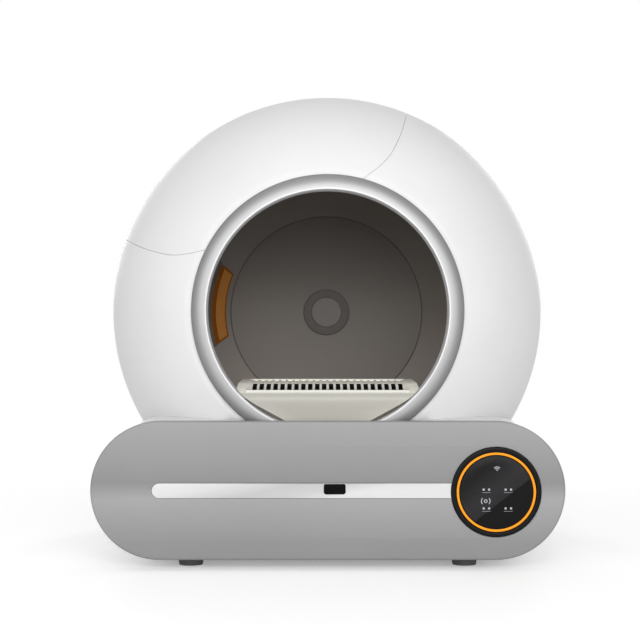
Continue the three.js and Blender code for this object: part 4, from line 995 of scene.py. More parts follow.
@dataclass(frozen=True)
class Drum:
    """The dark drum: two halves, a flat back with a bead around it, a hub cap, and the amber sieve.

    Depths are measured from the globe's centre, radii from its axis.
    """

    radius: float = 0.225
    wall: float = 0.003
    neck: float = 0.15
    front: float = -0.216
    back: float = 0.1777
    hole: float = 0.0126
    port: Pair = (102.0, 142.0)
    port_depths: Pair = (-0.078, 0.072)
    edge: float = 0.0006
    turn_step: float = 2.5
    depth_step: float = 0.006
    bead: float = 0.0008
    bead_inset: float = 0.0002
    hub_outer: float = 0.0327
    hub_inner: float = 0.0215
    hub_step: float = 0.0016
    hub_edge: float = 0.001
    boss: tuple[float, float, float] = (0.016, 0.0211, 0.0219)
    boss_edge: float = 0.0006
    boss_lift: float = 0.0002

    def build(self) -> None:
        """Builds every piece of the drum."""
        self.half("drum_mouth_half", "drum_front", self.front, -SEAT_GAP / 2)
        self.half("drum_rear_half", "drum_rear", SEAT_GAP / 2, self.back)
        self.disc()
        self.crease()
        self.hub()
        Sieve().build()

    def half(self, name: str, node: str, start: float, end: float) -> None:
        """Builds one half: neck or ball wall, and its part of the waste port.

        The wall's radius is the larger of the neck's and the root of the ball's radius squared less
        the depth squared. Behind the port the inner rows lie further forward, at the back by the
        thickness of the flat back.

        Args:
            name: name of the piece.
            node: node that it stands for.
            start: first depth.
            end: last depth.
        """
        turns = spread([self.port[0], self.port[1], self.port[0] + 360], self.turn_step)[:-1]
        joint = -math.sqrt(self.radius ** 2 - self.neck ** 2)
        breaks = sorted({start, end, *(d for d in (joint, *self.port_depths) if start < d < end)})
        depth = spread(breaks, self.depth_step)
        inner_depth = depth
        if end == self.back:
            low = self.port_depths[1]
            moved = low + (depth - low) * (self.back - self.wall - low) / (self.back - low)
            inner_depth = np.where(depth <= low, depth, moved)
        outer = np.maximum(np.sqrt(self.radius ** 2 - depth ** 2), self.neck * (depth < 0))
        inner = np.maximum(np.sqrt((self.radius - self.wall) ** 2 - inner_depth ** 2),
                           (self.neck - self.wall) * (depth < 0))
        keep = ~(between(depth, *self.port_depths)[:, None]
                 & between(np.append(turns, turns[0] + 360), *self.port)[None, :])
        angle = np.radians(turns)[None, :]
        shape = Shape().slab(around(angle, outer[:, None], depth[:, None]),
                             around(angle, inner[:, None], inner_depth[:, None]), keep, wrap=True)
        dress(shape.piece(name, CRISP, self.edge), DRUM_WALL_PAINTED_LIGHT, "drum", "drum_grey", node)

    def disc(self) -> None:
        """Builds the drum's flat back, which closes the rear half around the hub's hole."""
        outer = math.sqrt(self.radius ** 2 - self.back ** 2)
        inner = math.sqrt((self.radius - self.wall) ** 2 - (self.back - self.wall) ** 2)
        rear, face = AXIS_Y + self.back, AXIS_Y + self.back - self.wall
        profile = np.array([(self.hole, rear), (outer - SEAT_GAP, rear), (inner, face + SEAT_GAP),
                            (inner - SEAT_GAP, face), (self.hole, face)])
        dress(Shape().lathe(profile, (0, AXIS_Z), TURN_WIDE).piece("drum_back", CRISP), DRUM_GREY_PAINTED_SHADE,
              "drum", "drum_grey")

    def crease(self) -> None:
        """Builds a thin dark bead in the corner between the drum's wall and its flat back."""
        depth = self.back - self.wall
        radius = math.sqrt((self.radius - self.wall) ** 2 - depth ** 2)
        bead = circle((radius - self.bead_inset, AXIS_Y + depth - self.bead_inset), self.bead, TURN_BEAD)
        dress(Shape().lathe(bead, (0, AXIS_Z), TURN_WIDE).piece("drum_crease"), HUB_DARK,
              "drum", "drum_grey")

    def hub(self) -> None:
        """Builds the hub cap: a dark ring around a raised boss."""
        low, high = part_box("hub_cap")
        front, rear, face = low.y, high.y, low.y + self.hub_step
        ring = rounded([(self.hub_inner, face), (self.hub_outer, face), (self.hub_outer, rear)],
                       self.hub_edge, closed=False)
        ring = np.concatenate([[(0, face)], ring, [(0, rear)]])
        dress(Shape().lathe(ring, (0, AXIS_Z), TURN_HUB).piece("hub_cover", CRISP), HUB_DARK,
              "drum", "drum_grey", "hub_cap")
        flat, brow, foot = self.boss
        boss = rounded([(flat, front), (brow, front), (foot, face + self.boss_lift)],
                       self.boss_edge, closed=False)
        boss = np.concatenate([[(0, front)], boss, [(0, face + self.boss_lift)]])
        dress(Shape().lathe(boss, (0, AXIS_Z), TURN_HUB).piece("hub_boss", CRISP), HUB_GREY,
              "drum", "drum_grey")


@dataclass(frozen=True)
class Sieve:
    """The amber sieve on the drum's left wall: a frame with end walls, a panel, a trim and a screen.

    Radii are measured from the globe's axis, depths from its centre and angles from +X towards +Z.
    """

    scale: float = 0.222
    ball: float = 0.2214
    ball_depth_squared: float = 0.0485
    wall: float = 0.0025
    wall_radius: float = 0.18
    wall_columns: int = 6
    share_step: float = 0.05
    edge: float = 0.0005
    border: float = 2.6
    field: Pair = (-0.128, 0.142)
    corner: float = 0.02
    section: tuple[Pair, ...] = (
        (0.645, 0.753), (0.692, 0.703), (0.765, 0.617), (0.808, 0.482),
        (0.829, 0.212), (0.829, -0.194), (0.775, -0.464), (0.72, -0.66),
    )
    ends: tuple[Triple, ...] = ((0.1433, 157.5, 193.7), (0.16, 155.6, 196.4), (0.176, 153.2, 196.8))
    panel: Pair = (0.1456, 0.157)
    trim: Pair = (0.1634, 0.176)
    panel_edge: float = 1.1
    raised_rows: int = 9
    raised_columns: int = 41
    rise: float = 0.0007
    thin_edge: float = 0.0004
    screen_gap: float = 0.0005
    screen_turn_gap: float = 0.15
    screen_inset: float = 0.0002
    screen_wall: float = 0.002
    slot_rows: int = 5
    slot_columns: int = 4
    slot_turn: float = 3.2
    slot_end: float = 0.012
    half_bar: float = 0.004

    def build(self) -> None:
        """Builds the frame, the panel and the trim on it, and the screen."""
        self.frame()
        self.raised()
        self.screen()

    def line(self) -> Array:
        """Radius and depth along the sieve's face, from its rear edge to its front edge."""
        return rounded(np.array(self.section) * self.scale, self.corner, MIDDLE_ROUNDING, closed=False)

    def turns(self, radius: Array, share: Array, edge: float = 0.0) -> Array:
        """Angles across the sieve, which is narrower where its face is near the axis.

        Args:
            radius: radii of the rows.
            share: places across, from 0 to 1.
            edge: degrees kept free at both ends.

        Returns:
            The angles in radians, rows by columns.
        """
        reach, start, end = np.array(self.ends).T
        start = np.interp(radius, reach, start)[:, None] + edge
        end = np.interp(radius, reach, end)[:, None] - edge
        return np.radians(start + (end - start) * share[None, :])

    def frame(self) -> None:
        """Builds the face with its field cut out, and walls from its rim to the drum's wall."""
        line = self.line()
        border = self.border / (self.ends[-1][2] - self.ends[-1][1])
        share = spread([0, border, 1 - border, 1], self.share_step)
        angle = self.turns(line[:, 0], share)
        radius, depth = line[:, :1], line[:, 1:]
        keep = ~(between(line[:, 1], *self.field)[:, None] & between(share, border, 1 - border)[None, :])
        shape = Shape().slab(around(angle, radius, depth), around(angle, radius + self.wall, depth), keep)
        thick = self.wall / self.wall_radius
        reach = np.sqrt(self.ball ** 2 - np.minimum(line[:, 1] ** 2, self.ball_depth_squared)) - SEAT_GAP
        height = np.maximum(reach, line[:, 0])[:, None] - radius
        radii = radius + height * np.linspace(0, 1, self.wall_columns)[None, :]
        for start in (angle[:, :1], angle[:, -1:] - thick):
            shape.slab(around(start, radii, depth), around(start + thick, radii, depth))
        dress(shape.piece("sieve_rim", CRISP, self.edge), SIEVE_AMBER, "drum", "sieve_amber", "sieve_frame")

    def raised(self) -> None:
        """Builds a raised panel on the rear end of the face and a grey trim beside it.

        The depth of each row is read off the face by its radius. The panel's radii lie on the rear
        end alone. The trim's radii lie on both ends, so its rows go back and forth between them.
        """
        line = self.line()
        order = np.argsort(line[:, 0])
        for name, (start, end), edge, rise, finish, slot in (
            ("sieve_panel", self.panel, self.panel_edge, self.rise, SIEVE_LIGHT, "sieve_amber"),
            ("sieve_trim", self.trim, -self.panel_edge / 2, 2 * self.rise, DRUM_GREY_PAINTED_SHADE, "drum_grey"),
        ):
            radius = np.linspace(start, end, self.raised_rows)
            depth = np.interp(radius, line[order, 0], line[order, 1])
            angle = self.turns(radius, np.linspace(0, 1, self.raised_columns), edge)
            shape = Shape().slab(around(angle, radius[:, None] - rise, depth[:, None] - rise),
                                 around(angle, radius[:, None] + rise, depth[:, None] + rise))
            dress(shape.piece(name, CRISP, self.thin_edge), finish, "drum", slot)

    def screen(self) -> None:
        """Builds the slotted screen that fills the frame's field."""
        line = self.line()
        order = np.argsort(line[:, 1])
        low, high = self.field[0] + self.screen_gap, self.field[1] - self.screen_gap
        bars = np.linspace(low + self.slot_end, high - self.slot_end, self.slot_rows + 1)
        first, last = bars[:-1] + self.half_bar, bars[1:] - self.half_bar
        depth = spread(sorted([low, high, *first, *last]), 2 * self.half_bar)
        radius = np.interp(depth, line[order, 1], line[order, 0])[:, None] + self.screen_inset
        margin = self.border + self.screen_turn_gap
        start, end = self.ends[-1][1] + margin, self.ends[-1][2] - margin
        pitch = (end - start) / self.slot_columns
        lefts = start + pitch * np.arange(self.slot_columns) + (pitch - self.slot_turn) / 2
        turns = spread(sorted([start, end, *lefts, *(lefts + self.slot_turn)]), self.slot_turn / 2)
        rows = np.any([between(depth, near, far) for near, far in zip(first, last)], 0)
        columns = np.any([between(turns, left, left + self.slot_turn) for left in lefts], 0)
        angle = np.radians(turns)[None, :]
        shape = Shape().slab(around(angle, radius, depth[:, None]),
                             around(angle, radius + self.screen_wall, depth[:, None]),
                             ~(rows[:, None] & columns[None, :]))
        dress(shape.piece("sieve_slots", CRISP, self.thin_edge), SIEVE_LIGHT,
              "drum", "sieve_amber", "sieve_screen")


@dataclass(frozen=True)
class Step:
    """The pale step in the mouth, and the slotted grid that lies in it."""

    y: Pair = (-0.226, -0.13)
    z: Pair = (0.168, 0.222)
    columns: int = 61
    section: tuple[Pair, ...] = (
        (1, 1), (0.375, 0.944), (0.115, 0.833), (0.021, 0.685), (0, 0.593), (0.115, 0.037), (0.208, 0),
        (0.271, 0.519), (1, 0.778),
    )
    wall: float = 0.002
    top_radius: float = 0.1433
    face_radius: float = 0.1406
    top_half: float = 0.1101
    taper: float = 0.06
    widening: Pair = (0.192, 0.012)
    corner: float = 0.006
    edge: float = 0.0008
    top_share: float = 0.8
    opening_share: float = 0.8
    near_share: float = 0.9
    # Gap and thickness of the dark skin inside the step, which paints the shade seen through the slots
    painted_shade_gap: float = 0.0002
    painted_shade_wall: float = 0.0006
    grid_half: float = 0.098
    grid_y: Pair = (-0.221, -0.14)
    grid_drop: float = 0.0005
    grid_wall: float = 0.003
    grid_edge: float = 0.0005
    cell: Pair = (0.004, 0.005)
    slots: int = 22
    pitch: float = 0.00835
    slot_width: float = 0.0054
    slot_y: Pair = (-0.217, -0.144)
    shelf: Pair = (-0.182, -0.142)
    shelf_drop: float = 0.0014
    shelf_wall: float = 0.0005

    def build(self) -> None:
        """Builds the step and its grid."""
        self.tray()
        self.painted_shade_skin()
        self.grid()

    def outline(self) -> Array:
        """Works out the section of the step.

        Each corner is the low limit plus a share of the distance to the high limit, in Y and in Z.

        Returns:
            Y and Z of the closed outline.
        """
        low, high = np.array([self.y, self.z]).T
        return rounded(low + (high - low) * np.array(self.section), self.corner, RIM_ROUNDING)

    def is_top(self, z: Array) -> Array:
        """Tells which heights belong to the step's top."""
        return z > self.z[0] + self.top_share * (self.z[1] - self.z[0])

    def height(self, y: Array) -> Array:
        """Reads the height of the step's top off its section.

        Args:
            y: depths in Y.

        Returns:
            The heights in Z.
        """
        top = self.outline()
        top = top[self.is_top(top[:, 1])]
        order = np.argsort(top[:, 0])
        return np.interp(y, top[order, 0], top[order, 1])

    def half_width(self, y: Array, z: Array) -> Array:
        """Works out half the step's width.

        It is half the chord of a circle about the globe's axis, the root of the radius squared less
        the drop squared, and narrows to the rear. The circle widens over a short height.

        Args:
            y: depths in Y.
            z: heights in Z.

        Returns:
            The half widths.
        """
        start, rise = self.widening
        radius = self.face_radius + (self.top_radius - self.face_radius) * np.clip((z - start) / rise, 0, 1)
        half = np.sqrt(np.maximum(radius ** 2 - (AXIS_Z - z) ** 2, SMALLEST))
        return np.minimum(half, self.top_half - self.taper * (y - self.y[0]))

    def skin(self, first: float, second: float) -> Shape:
        """Builds a closed skin between two insets of the step, open on top for the grid.

        The columns within the opening are evenly spaced, and those beyond it share what is left of
        the half width at their place.

        Args:
            first: inset of its outer side.
            second: inset of its inner side.

        Returns:
            The skin.
        """
        outline, limit = self.outline(), self.opening_share
        share = np.linspace(-1, 1, self.columns)[:, None]
        surfaces = []
        for distance in (first, second):
            loop = inset(outline, distance)
            reach = self.half_width(*loop.T)[None, :] - distance
            near = np.minimum(self.grid_half, self.near_share * reach)
            beyond = np.sign(share) * (near + (np.abs(share) - limit) / (1 - limit) * (reach - near))
            x = np.where(np.abs(share) < limit, share / limit * near, beyond)
            surfaces.append(facing_up(x, loop[:, 0], loop[:, 1]))
        closed = np.concatenate([outline, outline[:1]])
        middle = (closed[1:] + closed[:-1]) / 2
        open_top = between(closed[:, 0], *self.grid_y) & self.is_top(middle[:, 1])
        keep = ~(between(share[:, 0], -limit, limit)[:, None] & open_top[None, :])
        shape = Shape().slab(*surfaces, keep, wrap=True)
        return shape.cap([surfaces[1][0]]).cap([surfaces[1][-1]])

    def tray(self) -> None:
        """Builds the step as a closed skin with an opening on top for the grid."""
        shape = self.skin(0, self.wall)
        dress(shape.piece("step", SOFT, self.edge), STEP_WHITE_PAINTED_LIGHT, "step", "step_white", "step_tray")

    def painted_shade_skin(self) -> None:
        """Builds a dark skin inside the step: painted shade, where the step's inside shows through the
        slots.
        """
        near = self.wall + self.painted_shade_gap
        shape = self.skin(near, near + self.painted_shade_wall)
        dress(shape.piece("step_lining", SOFT), PLASTIC_DARK, "step", "step_white")

    def grid(self) -> None:
        """Builds the grid: a plate along the step's top with a row of slots, and a thin shelf below."""
        half, half_slot = self.grid_half - SEAT_GAP, self.slot_width / 2
        centres = (np.arange(self.slots) - (self.slots - 1) / 2) * self.pitch
        x = spread(sorted([-half, half, *(centres - half_slot), *(centres + half_slot)]), self.cell[0])
        y = spread([self.grid_y[0] + SEAT_GAP, *self.slot_y, self.grid_y[1] - SEAT_GAP], self.cell[1])
        columns = np.any([between(x, centre - half_slot, centre + half_slot) for centre in centres], 0)
        keep = ~(between(y, *self.slot_y)[:, None] & columns[None, :])
        shape, shelf = Shape(), spread(self.shelf, self.cell[1])
        for rows, drop, wall, cells in ((y, self.grid_drop, self.grid_wall, keep),
                                        (shelf, self.shelf_drop, self.shelf_wall, None)):
            height = self.height(rows)[:, None] - drop
            shape.slab(facing_up(x[None, :], rows[:, None], height),
                       facing_up(x[None, :], rows[:, None], height - wall), cells)
        dress(shape.piece("step_slots", SOFT, self.grid_edge), STEP_WHITE_PAINTED_LIGHT,
              "grid", "step_white", "step_grid")


@dataclass(frozen=True)
class Base:
    """The low base: front plate, casing, rear panel, drawer and feet."""

    plate_edge: float = 0.003
    thin_edge: float = 0.0002
    recess_gap: float = 0.0004
    recess_edge: float = 0.0007
    recess_depth: float = 0.0032
    recess_floor: tuple[Pair, Pair] = ((-0.03, BASE_Z), (0.19, 0.012))
    recess_corner: float = 0.002
    strip_gap: float = 0.0007
    strip_edge: float = 0.0006
    window_half: Pair = (0.0129, 0.0064)
    window_corner: float = 0.003
    pane_half: Pair = (0.01265, 0.00615)
    pane_corner: float = 0.0028
    pane_edge: float = 0.0004
    wall: float = 0.003
    globe_clear: float = 0.2823
    globe_depth: float = 0.2182
    ring_clear: float = 0.1635
    least_angle: float = 0.05
    mouth_step: float = 0.0001
    mouth: float = MOUTH_DEPTH
    casing: Pair = (-0.2317, 0.2417)
    closed_from: float = 0.2312
    casing_columns: tuple[int, int, int, int] = (16, 16, 40, 30)
    casing_edge: float = 0.0006
    row: float = 0.006
    panel_edge: float = 0.0025
    drawer_window: tuple[Pair, Pair] = ((0, 0.0445), (0.1883, 0.0293))
    drawer_window_corner: float = 0.001
    hole_edge: float = 0.0005
    bore: float = 0.0093
    inlet: Pair = (0.225, 0.06)
    screw_place: Pair = (0.25907, 0.04259)
    screw_hole: float = 0.0043
    drawer_half: float = 0.188
    drawer_z: Pair = (0.0155, 0.0735)
    drawer_corner: float = 0.0015
    drawer_edge: float = 0.0006
    grip_half: Pair = (0.055, 0.012)
    grip_corner: float = 0.01
    grip_steps: int = 10
    grip_edge: float = 0.0012
    grip_lap: float = 0.001
    grip_depth: float = 0.0055
    bin_wall: float = 0.0025
    bin_corner: float = 0.008
    bin_edge: float = 0.003
    bag_corner: float = 0.004
    bag_rim: float = 0.014
    bag_hole_corner: float = 0.006
    bag_edge: float = 0.0008
    feet: Pair = (0.165, 0.194)
    foot_edge: float = 0.0009
    foot_hollow: float = 0.0012
    foot_profile: tuple[Pair, ...] = (
        (0.0135, 0.0012), (0.0135, 0), (0.0142, 0), (0.016, 0.0119), (0.004, 0.0119),
    )
    head: float = 0.00398
    head_height: float = 0.0028
    head_edge: float = 0.0012
    cross: Pair = (0.0022, 0.00045)
    cross_edge: float = 0.0001
    cross_floor: float = 0.003
    shank: float = 0.0018
    sleeve: Pair = (0.005, 0.009)
    sleeve_edge: float = 0.0006
    pin: Pair = (0.0009, 0.0011)
    pin_tip: float = 0.0006

    def build(self) -> None:
        """Builds every piece of the base."""
        self.fascia()
        self.strip()
        self.shell()
        self.panel()
        self.drawer()
        self.legs()
        self.screws()
        self.socket()
        Display().build()

    def fascia(self) -> None:
        """Builds the grey front plate with one recess for the strip and the display."""
        half, gap = STRIP_HALF_HEIGHT + SEAT_GAP, DISPLAY_RADIUS + self.recess_gap
        meet = [math.degrees(math.asin((BASE_Z + side * half - DISPLAY_Z) / gap)) for side in (1, -1)]
        round_part = arc((BASE_END_X, DISPLAY_Z), gap, -180 - meet[1], 180 - meet[0], ARC_RECESS)
        slot = arc((STRIP_LEFT_X + STRIP_HALF_HEIGHT, BASE_Z), half, 90, 270, ARC_STRIP)
        keyhole = np.concatenate([round_part, slot])
        outline = stadium(-BASE_END_X, BASE_END_X, BASE_RADIUS, BASE_Z, ARC_PLATE)
        shape = Shape().plate(outline, [keyhole], FASCIA_FACE_Y, FASCIA_REAR_Y,
                              self.plate_edge, self.recess_edge, steps=FINE_ROUNDING)
        shape.plate(round_box(*self.recess_floor, self.recess_corner), [],
                    FASCIA_FACE_Y + self.recess_depth, FASCIA_REAR_Y, self.thin_edge)
        dress(shape.piece("front_plate", CRISP), FASCIA_GREY_PAINTED_SHADE, "base", "fascia_grey", "fascia")

    def strip(self) -> None:
        """Builds the pale strip, which ends on the display's circle, and its sensor window."""
        gap = DISPLAY_RADIUS + self.strip_gap
        ends = [BASE_Z + side * STRIP_HALF_HEIGHT - DISPLAY_Z for side in (-1, 1)]
        angles = [180 - math.degrees(math.asin(end / gap)) for end in ends]
        curve = arc((BASE_END_X, DISPLAY_Z), gap, angles[0], angles[1], ARC_MEETING)
        left = arc((STRIP_LEFT_X + STRIP_HALF_HEIGHT, BASE_Z), STRIP_HALF_HEIGHT, 90, 270, ARC_STRIP)
        outline = np.concatenate([curve, left])
        window = round_box((SENSOR_X, SENSOR_Z), self.window_half, self.window_corner)
        low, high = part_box("light_strip")
        shape = Shape().plate(outline, [window], low.y, high.y, self.strip_edge)
        dress(shape.piece("front_strip", CRISP), STRIP_WHITE_PAINTED_REFLECTION, "base", "strip_white", "light_strip")
        low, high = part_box("sensor_window")
        pane = round_box((SENSOR_X, SENSOR_Z), self.pane_half, self.pane_corner)
        shape = Shape().plate(pane, [], low.y, high.y, self.pane_edge)
        dress(shape.piece("sensor_pane", CRISP), SENSOR_BLACK, "base", "display_black", "sensor_window")

    def outline_at(self, y: Array, gap: float) -> Array:
        """The casing's outline at some depths, cut where the globe or the ring passes through its top.

        The cut is where the flat top, at x, or the end's arc, at angle a, is as far from the globe's
        axis as the clear radius: x^2 = r^2 - drop^2, or cos(a + tilt) = a share of the arc's reach.

        Args:
            y: the depths.
            gap: distance inside the outer outline.

        Returns:
            Points, depths by columns by 3, from the top's middle clockwise round.
        """
        depth = y - AXIS_Y
        clear = np.sqrt(self.globe_clear ** 2 - np.minimum(np.abs(depth), self.globe_depth) ** 2)
        clear = np.where(depth < self.mouth, self.ring_clear, clear)
        radius = BASE_RADIUS - gap
        down = AXIS_Z - BASE_Z
        drop = down - radius
        flat = np.sqrt(np.maximum(clear ** 2 - drop ** 2, 0))
        reach = math.hypot(BASE_END_X, down)
        tilt = math.atan2(down, BASE_END_X)
        share = (clear ** 2 - reach ** 2 - radius ** 2) / (2 * reach * radius)
        on_arc = np.arccos(np.clip(share, -1, 1)) - tilt
        on_arc = np.where(flat > BASE_END_X, np.clip(on_arc, self.least_angle, np.pi / 2), np.pi / 2)
        flat = np.minimum(flat, BASE_END_X)
        *counts, last = self.casing_columns
        shares = [np.linspace(0, 1, count, endpoint=False) for count in counts]
        top = flat[:, None] * shares[0]
        level = flat[:, None] + (BASE_END_X - flat)[:, None] * shares[1]
        turn = on_arc[:, None] + (-np.pi / 2 - on_arc)[:, None] * shares[2]
        bottom = np.broadcast_to(BASE_END_X * np.linspace(1, 0, last), (len(y), last))
        x = np.concatenate([top, level, BASE_END_X + radius * np.cos(turn), bottom], 1)
        z = np.concatenate([np.full_like(top, radius), np.full_like(level, radius), radius * np.sin(turn),
                            np.full_like(bottom, -radius)], 1)
        x = np.concatenate([x, -x[:, -2:0:-1]], 1)
        z = BASE_Z + np.concatenate([z, z[:, -2:0:-1]], 1)
        return np.stack([x, np.broadcast_to(y[:, None], x.shape), z], -1)

    def shell(self) -> None:
        """Builds the casing, whose top is open where the globe and the ring pass."""
        mouth = AXIS_Y + self.mouth
        y = spread([self.casing[0], mouth, mouth + self.mouth_step, self.closed_from, self.casing[1]],
                   self.row)
        outer, inner = self.outline_at(y, 0), self.outline_at(y, self.wall)
        keep = np.ones((len(y) - 1, outer.shape[1]), bool)
        open_rows, open_columns = between(y, -math.inf, self.closed_from), self.casing_columns[0]
        keep[open_rows, :open_columns] = False
        keep[open_rows, -open_columns:] = False
        shape = Shape().slab(outer, inner, keep, wrap=True)
        dress(shape.piece("base_shell", CRISP, self.casing_edge), SHELL_WHITE,
              "base", "shell_white", "base_casing")

    def panel(self) -> None:
        """Builds the rear panel with the drawer's window and the power inlet's bore."""
        window = round_box(*self.drawer_window, self.drawer_window_corner)
        bore = circle(self.inlet, self.bore, TURN_BORE)
        x, z = self.screw_place
        screws = [circle((side * x, BASE_Z + end * z), self.screw_hole, TURN_PIN)
                  for side, end in ((1, 1), (-1, 1), (-1, -1), (1, -1))]
        outline = stadium(-BASE_END_X, BASE_END_X, BASE_RADIUS, BASE_Z, ARC_PLATE)
        shape = Shape().plate(outline, [window, bore, *screws], PANEL_REAR_Y, PANEL_FRONT_Y,
                              self.panel_edge, self.hole_edge, steps=MIDDLE_ROUNDING)
        dress(shape.piece("rear_plate", CRISP), PANEL_GREY, "base", "fascia_grey", "rear_panel")

    def drawer(self) -> None:
        """Builds the drawer: front with a grip recess, bin, and the frame that holds the bag."""
        low, high = self.drawer_z
        middle = (low + high) / 2
        front = round_box((0, middle), (self.drawer_half, (high - low) / 2), self.drawer_corner)
        grip = round_box((0, middle), self.grip_half, self.grip_corner, self.grip_steps)
        shape = Shape().plate(front, [grip], PANEL_REAR_Y, PANEL_FRONT_Y, self.drawer_edge, self.grip_edge)
        shape.plate(inset(grip, -self.grip_lap), [], PANEL_REAR_Y - self.grip_depth, PANEL_FRONT_Y,
                    self.thin_edge)
        dress(shape.piece("drawer_face", CRISP), PANEL_GREY, "drawer", "fascia_grey", "drawer_front")
        low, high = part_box("drawer_bin")
        half = (self.drawer_half, (high.y - low.y) / 2)
        loop = round_box((0, (low.y + high.y) / 2), half, self.bin_corner)
        shape = Shape().bowl(loop, self.bin_wall, high.z, low.z, self.bin_edge)
        dress(shape.piece("drawer_box", CRISP), PLASTIC_DARK, "drawer", "plastic_dark", "drawer_bin")
        low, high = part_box("bag_frame")
        half, centre = ((high.x - low.x) / 2, (high.y - low.y) / 2), (0, (low.y + high.y) / 2)
        hole = round_box(centre, (half[0] - self.bag_rim, half[1] - self.bag_rim), self.bag_hole_corner)
        shape = Shape().plate(round_box(centre, half, self.bag_corner), [hole], high.z, low.z,
                              self.bag_edge, self.bag_edge, facing_up)
        dress(shape.piece("bag_holder", CRISP), PLASTIC_DARK, "drawer", "plastic_dark", "bag_frame")

    def legs(self) -> None:
        """Builds the four rubber feet, narrower at the floor and with a shallow hollow below."""
        x, y = self.feet
        profile = rounded(self.foot_profile, self.foot_edge, closed=False)
        top = self.foot_profile[-1][1]
        profile = np.concatenate([[(0, self.foot_hollow)], profile, [(0, top)]])
        for side, end, node in ((-1, -1, "foot_front_left"), (1, -1, "foot_front_right"),
                                (-1, 1, "foot_rear_left"), (1, 1, "foot_rear_right")):
            shape = Shape().lathe(profile, (side * x, end * y), TURN_FOOT, upright=True)
            dress(shape.piece(f"rubber_{node}", SOFT), RUBBER_DARK, "base", "rubber_dark", node)

    def screws(self) -> None:
        """Builds the four rear screws, with a cross recess in each head."""
        arm, half = self.cross
        cross = np.array([(arm, -half), (arm, half), (half, half), (half, arm), (-half, arm), (-half, half),
                          (-arm, half), (-arm, -half), (-half, -half), (-half, -arm), (half, -arm),
                          (half, -half)])
        for number in range(1, 5):
            node = f"rear_screw_{number}"
            low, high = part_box(node)
            centre = ((low.x + high.x) / 2, (low.z + high.z) / 2)
            head = high.y - self.head_height
            shape = Shape().plate(circle(centre, self.head, TURN_HEAD), [cross + centre], high.y, head,
                                  self.head_edge, self.cross_edge)
            shape.plate(circle(centre, self.cross_floor, TURN_FLOOR), [], head + 0.001, head - 0.001,
                        self.cross_edge)
            shape.lathe(np.array([(0.0008, low.y), (self.shank, low.y + 0.002), (self.shank, head + 0.0002),
                                  (0.0008, head + 0.0002)]), centre, TURN_PIN)
            dress(shape.piece(f"panel_screw_{number}", CRISP), ZINC_STEEL, "base", "steel", node)

    def socket(self) -> None:
        """Builds the power inlet: a sleeve with a round bore and a pin in its middle."""
        low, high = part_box("dc_inlet")
        centre = ((low.x + high.x) / 2, (low.z + high.z) / 2)
        inner, outer = self.sleeve
        sleeve = rounded([(inner, low.y + 0.002), (inner, high.y), (outer, high.y), (outer, low.y),
                          (inner + 0.0002, low.y)], self.sleeve_edge)
        foot, neck = self.pin
        pin = np.array([(0, low.y + 0.0005), (foot, low.y + 0.0005), (neck, high.y - 0.003),
                        (self.pin_tip, high.y - 0.0022), (0, high.y - 0.002)])
        floor = np.array([(0, low.y), (0.0055, low.y), (0.0055, low.y + 0.0012), (0, low.y + 0.0012)])
        shape = Shape().lathe(sleeve, centre, TURN_BORE).lathe(pin, centre, TURN_PIN)
        shape.lathe(floor, centre, TURN_BORE)
        dress(shape.piece("power_socket", CRISP), PLASTIC_DARK, "base", "plastic_dark", "dc_inlet")


